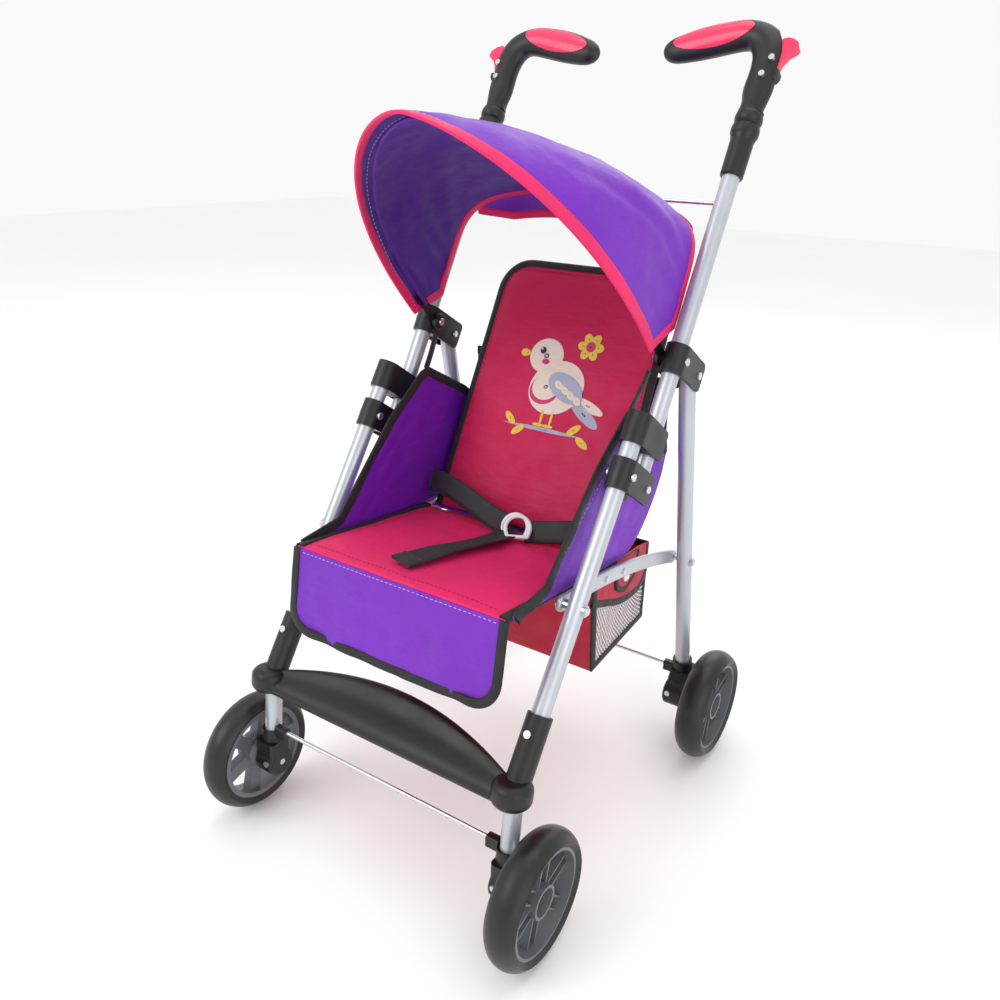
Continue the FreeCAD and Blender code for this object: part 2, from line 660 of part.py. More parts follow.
def canopy_rib(s, inset):
    """Closed arch wire at fraction s from the front hem to the rear edge."""
    def mix(a, b):
        return a + (b - a) * s
    base = (mix(HEM_BASE[0], REAR_BASE[0]), mix(HEM_BASE[1], REAR_BASE[1]))
    crown = CANOPY_CROWN * 4 * s * (1 - s)
    top = (mix(HEM_TOP[0], REAR_TOP[0]), mix(HEM_TOP[1], REAR_TOP[1]) + crown)
    rise = (top[0] - base[0], top[1] - base[1])
    height = math.hypot(rise[0], rise[1])
    up = (rise[0] / height, rise[1] / height)
    half = CANOPY_HALF - inset
    side_power = 2 / (1.6 + 0.9 * s)
    top_power = 2 / (2.2 + 4.5 * s)
    points = []
    steps = 16
    for k in range(steps + 1):
        t = math.pi * k / steps
        c = math.cos(t)
        x = half * math.copysign(abs(c) ** side_power, c)
        h = (height - inset) * math.sin(t) ** top_power
        points.append(V(x, base[0] + up[0] * h, base[1] + up[1] * h))
    drop = 8.0 if inset else 0.0
    curve = Part.BSplineCurve()
    curve.interpolate(points)
    left = V(points[0].x, points[0].y - up[0] * drop, points[0].z - up[1] * drop)
    right = V(points[-1].x, points[-1].y - up[0] * drop, points[-1].z - up[1] * drop)
    edges = [curve.toShape()]
    if drop:
        edges.append(Part.LineSegment(points[-1], right).toShape())
    edges.append(Part.LineSegment(right, left).toShape())
    if drop:
        edges.append(Part.LineSegment(left, points[0]).toShape())
    return Part.Wire(edges)


def canopy():
    """Thin domed cover, open in front, below and behind."""
    outer = Part.makeLoft([canopy_rib(s, 0.0) for s in (0, 0.25, 0.5, 0.75, 1)], True, False)
    inner = Part.makeLoft([canopy_rib(s, CANOPY_CLOTH) for s in (-0.03, 0.25, 0.5, 0.75, 1.03)], True, False)
    return outer.cut(inner)


# ---- soft parts ----


def seat_pan():
    d = unit((PAN_REAR[0] - PAN_FRONT[0], PAN_REAR[1] - PAN_FRONT[1]))
    length = math.hypot(PAN_REAR[0] - PAN_FRONT[0], PAN_REAR[1] - PAN_FRONT[1])
    points = [PAN_FRONT, PAN_REAR, along(PAN_FRONT, d, length, PAN_THICK), along(PAN_FRONT, d, 0, PAN_THICK)]
    body = prism(points, -PAN_HALF, PAN_HALF)
    return body.makeFillet(2.0, [e for e in body.Edges if e.BoundBox.XLength > 1])


def backrest():
    d = (BACK_TOP[0] - BACK_BOTTOM[0], BACK_TOP[1] - BACK_BOTTOM[1])
    length = math.hypot(d[0], d[1])
    up = vec(d)
    back = V(0, up.z, -up.y)
    start = at(0, BACK_BOTTOM)
    side = X_AXIS * BACK_HALF
    outline = [start - side, start + side, start + side + up * length, start - side + up * length]
    body = Part.Face(Part.makePolygon(outline + outline[:1])).extrude(back * BACK_THICK)
    corners = [e for e in body.Edges if abs(abs((e.Vertexes[1].Point - e.Vertexes[0].Point).dot(back))
                                            - BACK_THICK) < 1e-3]
    top = [e for e in corners if e.BoundBox.ZMin > 400]
    low = [e for e in corners if e.BoundBox.ZMin <= 400]
    return body.makeFillet(30.0, top).makeFillet(14.0, low)


def wing():
    return prism(WING_OUTLINE, WING_IN, WING_OUT)


def back_panel():
    """Sling cloth that hangs behind the backrest from one wing to the other."""
    front = [(219.0, 264.0), (235.0, 270.0), (262.0, 288.0), (290.0, 322.0), (302.0, 350.0), (301.0, 385.0),
             (300.0, 424.0)]
    outline = front + [(y + 2.2, z) for y, z in reversed(front)]
    return prism(outline, -WING_IN, WING_IN)


def front_flap():
    half = 116.0
    top = V(0, 23.6, 289.0)
    bottom = V(0, 9.0, 209.0)
    side = X_AXIS * half
    outline = [top - side, top + side, bottom + side, bottom - side]
    d = (bottom - top).normalize()
    normal = V(0, -d.z, d.y)
    body = Part.Face(Part.makePolygon(outline + outline[:1])).extrude(normal * -2.2)
    low = [e for e in body.Edges if e.BoundBox.ZMax < 215 and e.BoundBox.XLength < 0.1]
    return body.makeFillet(26.0, low)


def basket_side(points, out, sign=1):
    """Closed outline lying on the basket's sloping side, moved outwards by out."""
    run = BASKET_REAR_Y - BASKET_FRONT_Y
    corners = []
    for p in points:
        half = BASKET_HALF - BASKET_TAPER * (p[0] - BASKET_FRONT_Y) / run
        corners.append(at(sign * (half + out), p))
    return Part.makePolygon(corners + corners[:1])


def basket():
    """Storage basket below and behind the seat, open at the top rear."""
    outer = Part.makeLoft([basket_side(BASKET_SIDE, 0.0, -1), basket_side(BASKET_SIDE, 0.0)], True, True)
    w = BASKET_WALL
    hollow = [(172.0 + w, 270.0), (182.0 + w, 158.0 + w), (333.0 - w, 144.0 + w), (334.0 - w, 270.0)]
    inner = Part.makeLoft([basket_side(hollow, -w, -1), basket_side(hollow, -w)], True, True)
    return outer.cut(inner)


def basket_flaps():
    """Side flaps that close the basket's top corners with a snap."""
    body = Part.makeLoft([basket_side(FLAP_SIDE, 0.2), basket_side(FLAP_SIDE, 1.3)], True, True)
    return both(body)


def seat_belt():
    """Lap webbing in front of the backrest and its loose tail on the seat."""
    band = prism([(201.5, 274.5), (203.3, 274.5), (212.0, 296.0), (210.2, 296.0)], -104.0, 104.0)
    tail_top = along(PAN_FRONT, (PAN_REAR[0] - PAN_FRONT[0], PAN_REAR[1] - PAN_FRONT[1]), 40, -0.4)
    tail_end = along(PAN_FRONT, (PAN_REAR[0] - PAN_FRONT[0], PAN_REAR[1] - PAN_FRONT[1]), 172, -0.4)
    lift_end = along(PAN_FRONT, (PAN_REAR[0] - PAN_FRONT[0], PAN_REAR[1] - PAN_FRONT[1]), 172, -2.0)
    lift_top = along(PAN_FRONT, (PAN_REAR[0] - PAN_FRONT[0], PAN_REAR[1] - PAN_FRONT[1]), 40, -2.0)
    tail = prism([tail_top, tail_end, lift_end, lift_top], -BELT_HALF_WIDTH - 8, BELT_HALF_WIDTH - 8)
    return [band, tail]


def belt_rings():
    """Two plastic D-rings on the lap webbing."""
    found = []
    for x in (14.0, 20.0):
        torus = Part.makeTorus(14.0, 2.0, V(x, 192.5, 287.0), V(0.25, 0.9, 0.35))
        found.append(torus)
    return found


def wing_straps():
    """Thin strap from the canopy boss down to the wing's top corner."""
    top = along(UPPER_BOLT, HANDLE_DIR, -9.5, -3.0)
    low = (216.0, 419.0)
    strap = rod(at(120.5, top), at(115.0, low), 1.5)
    return both(strap)


def frame_bolts():
    """Bracket bolts on the front tubes and the stepped bolts the seat rails turn on."""
    inner = FRAME_X - BRACKET_HALF
    outer = FRAME_X + BRACKET_HALF
    found = both(bolt(inner, outer, LOWER_BOLT)) + both(bolt(inner, outer, HANDLE_PIVOT))
    front_run = rod(at(FRAME_X, FRONT_BEND), at(FRAME_X, FRONT_TOP), TUBE_R)
    seat = rod(at(RAIL_X + RAIL_THICK + 0.2, RAIL_FRONT), at(FRAME_X + 9.5, RAIL_FRONT), 5.0).cut(front_run)
    pin = bolt(RAIL_X - 0.2, FRAME_X + 9.5, RAIL_FRONT).fuse(seat)
    return found + both(pin.removeSplitter())


def upper_bolts():
    inner = FRAME_X - BRACKET_HALF
    outer = FRAME_X + BRACKET_HALF
    return both(bolt(ARM_X - 5.2, outer, UPPER_BOLT)) + both(bolt(inner, outer, LEG_PIVOT))


def leg_bolts():
    """Bolt at each leg's rail joint and the housing's screw."""
    leg = rod(at(FRAME_X, LEG_PIVOT), at(FRAME_X, LEG_END), TUBE_R)
    seat = rod(at(FRAME_X, RAIL_REAR), at(FRAME_X + 9.5, RAIL_REAR), 5.0).cut(leg)
    pin = bolt(RAIL_X + RAIL_THICK + 0.6, FRAME_X + 9.5, RAIL_REAR, head_in=False).fuse(seat)
    return both(pin.removeSplitter()) + both(housing_screw(REAR_SCREW))


def build_sides():
    leg_up = (-LEG_DIR[0], -LEG_DIR[1])
    foot_up = (FRONT_BEND[0] - FRONT_FOOT[0], FRONT_BEND[1] - FRONT_FOOT[1])
    front = at(FRONT_WHEEL_X, FRONT_AXLE)
    rear = at(REAR_WHEEL_X, REAR_AXLE)
    moulded = {
        "front_tube": front_tube(),
        "handle_tube": handle_tube(),
        "rear_leg": rear_leg(),
        "lower_bracket": pivot_bracket(LOWER_BOLT, FRONT_DIR, HANDLE_PIVOT),
        "upper_bracket": pivot_bracket(UPPER_BOLT, HANDLE_DIR, LEG_PIVOT),
        "snap_clip": snap_clip(),
        "front_tyre": tyre(front),
        "front_rim": rim(front, FRONT_WHEEL_X - HOUSING_OUT - GAP),
        "rear_tyre": tyre(rear),
        "rear_rim": rim(rear, REAR_WHEEL_X - HOUSING_OUT - GAP),
        "front_housing": housing(FRONT_FOOT, foot_up, FRONT_AXLE, HOUSING_OUT, FRONT_WIRE),
        "rear_housing": housing(LEG_END, leg_up, REAR_AXLE, HOUSING_OUT, REAR_WIRE),
        "handle_collar": collar(),
        "handle_grip": grip(),
        "trigger": trigger(),
        "side_wing": wing(),
    }
    for name, shape in moulded.items():
        for side, sign in SIDES:
            add(name + "_" + side, on_side(shape, sign))


def build_shared():
    inner = FRAME_X - 10.5
    add("footrest", footrest())
    add("footrest_rivets", footrest_rivet(1), footrest_rivet(-1))
    add("front_cross_wire", cross_wire(FRONT_WIRE))
    add("rear_cross_wire", cross_wire(REAR_WIRE))
    add("front_housing_screws", *both(housing_screw(FRONT_SCREW)))
    add("front_axles", *both(axle_pin(inner, FRONT_WHEEL_X + HUB_FLOOR + GAP, FRONT_AXLE)))
    add("rear_axles", *both(axle_pin(inner, REAR_WHEEL_X + HUB_FLOOR + GAP, REAR_AXLE)))
    add("frame_bolts", *frame_bolts())
    add("upper_bracket_bolts", *upper_bolts())
    add("rear_leg_bolts", *leg_bolts())
    add("seat_rails", *both(rail_solid()))
    add("rail_rivets", *rail_rivets())
    pins = [both(pin) for pin in grip_pins() + [collar_screw()]]
    add("handle_pins", *[solid for pair in pins for solid in pair])
    add("grip_inlays", *both(inlay()))
    add("canopy_rear_rod", rod(at(-ROD_HALF, ROD_CENTRE), at(ROD_HALF, ROD_CENTRE), ROD_R))
    add("canopy_bosses", *both(boss()))
    add("canopy_arms", *both(canopy_arm()))
    add("canopy_bow", canopy_bow())
    add("canopy", canopy())
    add("seat_pan", seat_pan())
    add("backrest", backrest())
    add("back_panel", back_panel())
    add("front_flap", front_flap())
    add("basket", basket())
    add("basket_flaps", *basket_flaps())
    add("seat_belt", *seat_belt())
    add("belt_rings", *belt_rings())
    add("wing_straps", *wing_straps())


def export():
    os.makedirs("parts", exist_ok=True)
    for name, shape in PARTS:
        placed = shape.copy()
        placed.translate(V(0, -FRONT_TO_REAR_ORIGIN, 0))
        placed.exportStep("parts/" + name + ".step")


build_sides()
build_shared()
export()
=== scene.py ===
import json
import math

import bpy
import numpy as np
from mathutils import Matrix, Vector, noise


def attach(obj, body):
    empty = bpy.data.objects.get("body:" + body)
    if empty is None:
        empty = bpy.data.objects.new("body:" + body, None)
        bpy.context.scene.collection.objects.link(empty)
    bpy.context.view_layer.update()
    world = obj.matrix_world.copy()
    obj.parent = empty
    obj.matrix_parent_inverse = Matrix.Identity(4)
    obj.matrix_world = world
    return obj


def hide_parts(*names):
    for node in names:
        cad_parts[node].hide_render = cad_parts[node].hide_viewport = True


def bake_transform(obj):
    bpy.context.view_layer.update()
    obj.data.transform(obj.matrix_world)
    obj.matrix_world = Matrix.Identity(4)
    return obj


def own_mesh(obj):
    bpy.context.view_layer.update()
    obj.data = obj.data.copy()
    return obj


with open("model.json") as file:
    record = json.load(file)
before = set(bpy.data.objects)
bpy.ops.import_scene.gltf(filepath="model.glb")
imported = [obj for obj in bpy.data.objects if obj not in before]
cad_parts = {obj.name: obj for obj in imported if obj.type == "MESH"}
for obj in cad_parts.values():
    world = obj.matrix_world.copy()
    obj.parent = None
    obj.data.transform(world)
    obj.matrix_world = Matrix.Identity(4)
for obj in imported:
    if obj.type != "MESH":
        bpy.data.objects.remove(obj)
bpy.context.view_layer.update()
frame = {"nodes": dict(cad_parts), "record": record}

# Distances below are in millimetres. y = 0 is the front axle and z = 0 the floor;
# place() turns such a point into the frame's metres.
FRONT_TO_ORIGIN = 175.5
TAU = 2 * math.pi


def place(x, y, z):
    return Vector((x / 1000, (y - FRONT_TO_ORIGIN) / 1000, z / 1000))


# ------------------------------------------------------------------ materials
class Nodes:
    """Short names for building one procedural material."""

    def __init__(self, name):
        self.material = bpy.data.materials.new(name)
        self.material.use_nodes = True
        self.tree = self.material.node_tree
        self.shader = self.tree.nodes["Principled BSDF"]
        self.coordinates = self.tree.nodes.new("ShaderNodeTexCoord")

    def add(self, kind, **values):
        node = self.tree.nodes.new("ShaderNode" + kind)
        for key, value in values.items():
            if hasattr(node, key):
                setattr(node, key, value)
            else:
                node.inputs[key.replace("_", " ")].default_value = value
        return node

    def link(self, a, b):
        self.tree.links.new(a, b)

    def math(self, operation, a, b=None):
        node = self.add("Math", operation=operation)
        for slot, value in enumerate((a, b)):
            if value is None:
                continue
            if isinstance(value, (int, float)):
                node.inputs[slot].default_value = value
            else:
                self.link(value, node.inputs[slot])
        return node.outputs[0]

    def noise(self, space, scale, detail=3.0, stretch=None):
        node = self.add("TexNoise")
        node.inputs["Scale"].default_value = scale
        node.inputs["Detail"].default_value = detail
        source = self.coordinates.outputs[space]
        if stretch:
            mapping = self.add("Mapping")
            mapping.inputs["Scale"].default_value = stretch
            self.link(source, mapping.inputs["Vector"])
            source = mapping.outputs[0]
        self.link(source, node.inputs["Vector"])
        return node.outputs[0]

    def ramp(self, factor, stops):
        node = self.add("ValToRGB")
        elements = node.color_ramp.elements
        while len(elements) < len(stops):
            elements.new(0.5)
        for element, (position, color) in zip(elements, stops):
            element.position = position
            element.color = color
        self.link(factor, node.inputs["Fac"])
        return node.outputs[0]

    def bump(self, height, strength, distance, below=None):
        node = self.add("Bump")
        node.inputs["Strength"].default_value = strength
        node.inputs["Distance"].default_value = distance
        self.link(height, node.inputs["Height"])
        if below is not None:
            self.link(below, node.inputs["Normal"])
        self.link(node.outputs[0], self.shader.inputs["Normal"])
        return node.outputs[0]


def shade(color, factor):
    return (min(color[0] * factor, 1), min(color[1] * factor, 1), min(color[2] * factor, 1), 1)


def varied(nodes, color, spread, scale, space="Object"):
    """Base colour with soft uneven patches."""
    patches = nodes.noise(space, scale, 4.0)
    stops = [(0.3, shade(color, 1 - spread)), (0.7, shade(color, 1 + spread))]
    nodes.link(nodes.ramp(patches, stops), nodes.shader.inputs["Base Color"])


def rough_range(nodes, low, high, scale, space="Object"):
    smudge = nodes.noise(space, scale, 5.0)
    grey = nodes.ramp(smudge, [(0.3, (low, low, low, 1)), (0.7, (high, high, high, 1))])
    nodes.link(grey, nodes.shader.inputs["Roughness"])


def weave_height(nodes, pitch_mm, diagonal=False):
    """Over-and-under thread pattern from the piece's own millimetre UVs."""
    split = nodes.add("SeparateXYZ")
    nodes.link(nodes.coordinates.outputs["UV"], split.inputs[0])
    u, v = split.outputs[0], split.outputs[1]
    if diagonal:
        u, v = nodes.math("ADD", u, v), nodes.math("SUBTRACT", u, v)
    waves = []
    for axis in (u, v):
        turned = nodes.math("MULTIPLY", axis, TAU / pitch_mm)
        waves.append(nodes.math("SINE", turned))
    product = nodes.math("MULTIPLY", waves[0], waves[1])
    return nodes.math("MULTIPLY_ADD", product, 0.5)


def cloth(name, color, rough=0.55, sheen=0.25, pitch=1.1, spread=0.06, coat=0.0):
    nodes = Nodes(name)
    varied(nodes, color, spread, 9.0)
    rough_range(nodes, rough - 0.08, rough + 0.1, 40.0)
    creases = nodes.bump(nodes.noise("Object", 28.0, 4.0, (1.0, 1.0, 2.2)), 0.45, 0.006)
    nodes.bump(weave_height(nodes, pitch), 0.35, 0.0003, creases)
    nodes.shader.inputs["Sheen Weight"].default_value = sheen
    nodes.shader.inputs["Sheen Roughness"].default_value = 0.4
    nodes.shader.inputs["Coat Weight"].default_value = coat
    nodes.shader.inputs["Coat Roughness"].default_value = 0.35
    return nodes.material


def tape(name, color, rough=0.6, rib=1.3):
    """Ribbed binding or webbing: the ribs run across the band."""
    nodes = Nodes(name)
    varied(nodes, color, 0.1, 30.0)
    rough_range(nodes, rough - 0.1, rough + 0.1, 60.0)
    soft = nodes.bump(nodes.noise("Object", 90.0, 3.0), 0.3, 0.001)
    nodes.bump(weave_height(nodes, rib, True), 0.5, 0.0004, soft)
    nodes.shader.inputs["Sheen Weight"].default_value = 0.05
    return nodes.material


def plastic(name, color, low, high, grain=900.0, bump=0.12, coat=0.0, spread=0.12):
    nodes = Nodes(name)
    varied(nodes, color, spread, 14.0)
    rough_range(nodes, low, high, 22.0)
    flow = nodes.bump(nodes.noise("Object", 35.0, 2.0), 0.08, 0.003)
    nodes.bump(nodes.noise("Object", grain, 2.0), bump, 0.0003, flow)
    nodes.shader.inputs["Coat Weight"].default_value = coat
    nodes.shader.inputs["Coat Roughness"].default_value = 0.15
    return nodes.material


def metal(name, color, metallic, low, high, brushed=(1.0, 1.0, 1.0), bump=0.05):
    nodes = Nodes(name)
    varied(nodes, color, 0.04, 20.0)
    rough_range(nodes, low, high, 30.0)
    nodes.shader.inputs["Metallic"].default_value = metallic
    nodes.bump(nodes.noise("Object", 420.0, 3.0, brushed), bump, 0.0003)
    return nodes.material


def rubber(name, color):
    nodes = Nodes(name)
    dust = nodes.noise("Object", 55.0, 6.0)
    stops = [(0.45, shade(color, 0.9)), (0.8, shade(color, 2.4))]
    nodes.link(nodes.ramp(dust, stops), nodes.shader.inputs["Base Color"])
    rough_range(nodes, 0.3, 0.5, 25.0)
    nodes.bump(nodes.noise("Object", 600.0, 3.0), 0.15, 0.0004)
    return nodes.material


def net(name, color, cell_mm, thread_share):
    """Knotted net: threads are kept and the cells between them are clear."""
    nodes = Nodes(name)
    varied(nodes, color, 0.05, 30.0)
    nodes.shader.inputs["Roughness"].default_value = 0.5
    split = nodes.add("SeparateXYZ")
    nodes.link(nodes.coordinates.outputs["UV"], split.inputs[0])
    u, v = split.outputs[0], split.outputs[1]
    lines = []
    for axis in (nodes.math("ADD", u, v), nodes.math("SUBTRACT", u, v)):
        step = nodes.math("DIVIDE", axis, cell_mm)
        along = nodes.math("FRACT", step)
        lines.append(nodes.math("LESS_THAN", along, thread_share))
    keep = nodes.math("MAXIMUM", lines[0], lines[1])
    nodes.link(keep, nodes.shader.inputs["Alpha"])
    nodes.bump(nodes.noise("Object", 500.0, 2.0), 0.2, 0.0003)
    return nodes.material


PURPLE = cloth("purple_nylon", (0.155, 0.006, 0.44), 0.5, 0.04, 1.0)
# Darker copy of the purple nylon: painted shade for the hood's inside faces and the bow under the hood.
PURPLE_PAINTED_SHADE = cloth("purple_painted_shade", (0.06, 0.003, 0.27), 0.6, 0.04, 1.0)
PINK = cloth("pink_nylon", (0.74, 0.002, 0.115), 0.6, 0.04, 1.1)
# Darker copy of the pink seat cloth: painted shade for the backrest under the hood.
PINK_PAINTED_SHADE = cloth("pink_pad_painted_shade", (0.60, 0.002, 0.075), 0.6, 0.04, 1.1)
CRIMSON = cloth("crimson_nylon", (0.46, 0.001, 0.03), 0.6, 0.04, 1.1)
PINK_TAPE = tape("pink_binding", (0.80, 0.003, 0.12), 0.5, 1.2)
BLACK_TAPE = tape("black_binding", (0.007, 0.007, 0.008), 0.65, 1.3)
WEBBING = tape("black_webbing", (0.012, 0.012, 0.014), 0.5, 2.2)
NET = net("white_net", (0.86, 0.84, 0.86), 6.4, 0.2)
THREAD = plastic("pale_thread", (0.55, 0.38, 0.78), 0.5, 0.7, 1500.0, 0.3)
DARK_THREAD = plastic("dark_thread", (0.35, 0.004, 0.06), 0.5, 0.7, 1500.0, 0.3)
SILVER = metal("silver_powder_coat", (0.50, 0.52, 0.56), 0.55, 0.28, 0.42)
STEEL = metal("zinc_plate", (0.62, 0.63, 0.66), 0.95, 0.2, 0.4, (1.0, 8.0, 8.0))
BLACK = plastic("black_moulding", (0.003, 0.003, 0.0035), 0.36, 0.5, 1200.0, 0.1)
TYRE = rubber("tyre_rubber", (0.005, 0.005, 0.0055))
RIM = plastic("grey_moulding", (0.13, 0.137, 0.152), 0.35, 0.5, 900.0, 0.1)
RED = plastic("red_soft_plastic", (0.75, 0.01, 0.09), 0.25, 0.4, 500.0, 0.1, 0.4)
WHITE = plastic("white_moulding", (0.85, 0.85, 0.86), 0.25, 0.4, 700.0, 0.06, 0.3, 0.03)
PRINT_CREAM = cloth("cream_print", (0.86, 0.74, 0.62), 0.55, 0.1, 1.1, 0.03)
PRINT_GREY = cloth("grey_print", (0.42, 0.46, 0.58), 0.55, 0.1, 1.1, 0.03)
PRINT_YELLOW = cloth("yellow_print", (0.86, 0.60, 0.06), 0.55, 0.1, 1.1, 0.03)
PRINT_DARK = cloth("dark_print", (0.02, 0.02, 0.05), 0.5, 0.1, 1.1, 0.03)
PRINT_ROSE = cloth("rose_print", (0.60, 0.03, 0.15), 0.55, 0.1, 1.1, 0.03)


# ------------------------------------------------------------------ mesh tools
def add_mesh(name, points, faces, material, uvs=None, body=None):
    """points in millimetres; uvs one per point, in millimetres of cloth."""
    mesh = bpy.data.meshes.new(name)
    mesh.from_pydata([place(*p) for p in points], [], faces)
    mesh.materials.append(material)
    if uvs is None:
        uvs = [(p[0] + p[1] * 0.3, p[2] + p[1] * 0.7) for p in points]
    layer = mesh.uv_layers.new(name="cloth")
    for loop in mesh.loops:
        layer.data[loop.index].uv = uvs[loop.vertex_index]
    mesh.shade_smooth()
    mesh.validate()
    mesh.update()
    made = bpy.data.objects.new(name, mesh)
    bpy.context.scene.collection.objects.link(made)
    return made


def grid_faces(rows, columns, offset=0, flip=False, close_columns=False, close_rows=False):
    faces = []
    for i in range(rows if close_rows else rows - 1):
        for j in range(columns if close_columns else columns - 1):
            a = offset + i * columns + j
            b = offset + i * columns + (j + 1) % columns
            c = offset + ((i + 1) % rows) * columns + (j + 1) % columns
            d = offset + ((i + 1) % rows) * columns + j
            faces.append((a, d, c, b) if flip else (a, b, c, d))
    return faces


def grid_normals(grid):
    """Unit normals of a rows x columns x 3 array."""
    across = np.gradient(grid, axis=1)
    along = np.gradient(grid, axis=0)
    normals = np.cross(across, along)
    length = np.linalg.norm(normals, axis=2, keepdims=True)
    return normals / np.maximum(length, 1e-9)


def grid_uv(grid):
    """Millimetre distances along the rows and columns."""
    rows, columns = grid.shape[:2]
    step_v = np.linalg.norm(np.diff(grid, axis=0), axis=2).mean(axis=1)
    step_u = np.linalg.norm(np.diff(grid, axis=1), axis=2)
    v = np.concatenate([[0], np.cumsum(step_v)])
    u = np.concatenate([np.zeros((rows, 1)), np.cumsum(step_u, axis=1)], axis=1)
    u = u - u[:, columns // 2][:, None]
    return [(float(u[i, j]), float(v[i])) for i in range(rows) for j in range(columns)]


def grid_area(grid):
    """Cloth area in square metres."""
    a = grid[:-1, :-1]
    b = grid[:-1, 1:]
    c = grid[1:, 1:]
    d = grid[1:, :-1]
    one = np.linalg.norm(np.cross(b - a, c - a), axis=2).sum() / 2
    two = np.linalg.norm(np.cross(c - a, d - a), axis=2).sum() / 2
    return float(one + two) / 1e6


def cloth_sheet(name, grid, thick, material, held, rests_on=(), inside=None, facing=None):
    """Closed thin sheet on both sides of a grid of points, recorded in the sheets list."""
    rows, columns = grid.shape[:2]
    normals = grid_normals(grid) if facing is None else np.array(facing)
    front = grid + normals * (thick / 2)
    back = grid - normals * (thick / 2)
    points = np.concatenate([front.reshape(-1, 3), back.reshape(-1, 3)])
    count = rows * columns
    faces = grid_faces(rows, columns) + grid_faces(rows, columns, count, True)
    border = [j for j in range(columns)]
    border += [i * columns + columns - 1 for i in range(1, rows)]
    border += [(rows - 1) * columns + j for j in range(columns - 2, -1, -1)]
    border += [i * columns for i in range(rows - 2, 0, -1)]
    for k, a in enumerate(border):
        b = border[(k + 1) % len(border)]
        faces.append((b, a, a + count, b + count))
    uv = grid_uv(grid)
    made = add_mesh(name, points.tolist(), faces, material, uv + uv)
    if inside:
        made.data.materials.append(inside)
        first_back = (rows - 1) * (columns - 1)
        for polygon in made.data.polygons[first_back:2 * first_back]:
            polygon.material_index = 1
    area = grid_area(grid)
    width = float(np.linalg.norm(np.diff(grid, axis=1), axis=2).sum(axis=1).max()) / 1000
    length = float(np.linalg.norm(np.diff(grid, axis=0), axis=2).sum(axis=0).max()) / 1000
    sheets.append((made, width, length, area, held, rests_on))
    return made


sheets = []


def band(name, line, inward, normal, width, thick, material, closed=False):
    """Folded tape over a cloth edge: line is the edge, inward points into the cloth."""
    line = np.asarray(line, float)
    inward = np.asarray(inward, float)
    normal = np.asarray(normal, float)
    h = thick / 2
    profile = [(-0.8 * h, 0.0), (-0.5 * h, 0.75 * h), (0.3 * h, h), (width * 0.5, h * 1.05),
               (width - 0.6, h), (width, 0.4 * h), (width, -0.4 * h), (width - 0.6, -h),
               (width * 0.5, -h * 1.05), (0.3 * h, -h), (-0.5 * h, -0.75 * h)]
    points = []
    uvs = []
    run = 0.0
    for k in range(len(line)):
        if k:
            run += float(np.linalg.norm(line[k] - line[k - 1]))
        for a, b in profile:
            points.append((line[k] + inward[k] * a + normal[k] * b).tolist())
            uvs.append((a, run))
    count = len(profile)
    faces = grid_faces(len(line), count, 0, False, True, closed)
    if not closed:
        faces.append(tuple(range(count)))
        faces.append(tuple(reversed(range((len(line) - 1) * count, len(line) * count))))
    return add_mesh(name, points, faces, material, uvs)


def unit_rows(array):
    length = np.linalg.norm(array, axis=-1, keepdims=True)
    return array / np.maximum(length, 1e-9)


def edge_band(name, edge, inner, width, thick, material, closed=False):
    """Tape along edge, with inner the matching points a little way into the cloth."""
    edge = np.asarray(edge, float)
    inner = np.asarray(inner, float)
    if closed:
        tangent = np.roll(edge, -1, axis=0) - np.roll(edge, 1, axis=0)
    else:
        tangent = np.gradient(edge, axis=0)
    tangent = unit_rows(tangent)
    inward = inner - edge
    inward = unit_rows(inward - tangent * (inward * tangent).sum(axis=1, keepdims=True))
    normal = unit_rows(np.cross(tangent, inward))
    return band(name, edge, inward, normal, width, thick, material, closed)


def stitches(name, line, normal, pitch, length, radius, material):
    """Row of short thread runs laid on a line of points."""
    line = np.asarray(line, float)
    normal = unit_rows(np.asarray(normal, float))
    steps = np.linalg.norm(np.diff(line, axis=0), axis=1)
    run = np.concatenate([[0], np.cumsum(steps)])
    points, faces = [], []
    at = pitch / 2
    while at + length < run[-1]:
        ends = []
        for s in (at, at + length):
            ends.append([np.interp(s, run, line[:, k]) for k in range(3)])
        up = np.array([np.interp(at, run, normal[:, k]) for k in range(3)])
        a, b = np.array(ends[0]), np.array(ends[1])
        heading = (b - a) / max(np.linalg.norm(b - a), 1e-9)
        side = np.cross(heading, up)
        side = side / max(np.linalg.norm(side), 1e-9)
        base = len(points)
        for share, swell in ((0.0, 0.35), (0.2, 1.0), (0.8, 1.0), (1.0, 0.35)):
            middle = a + (b - a) * share
            for k in range(6):
                angle = TAU * k / 6
                offset = side * math.cos(angle) + up * math.sin(angle)
                points.append((middle + offset * radius * swell).tolist())
        faces += grid_faces(4, 6, base, False, True)
        faces.append(tuple(base + k for k in range(6)))
        faces.append(tuple(base + 18 + k for k in reversed(range(6))))
        at += pitch
    return add_mesh(name, points, faces, material)


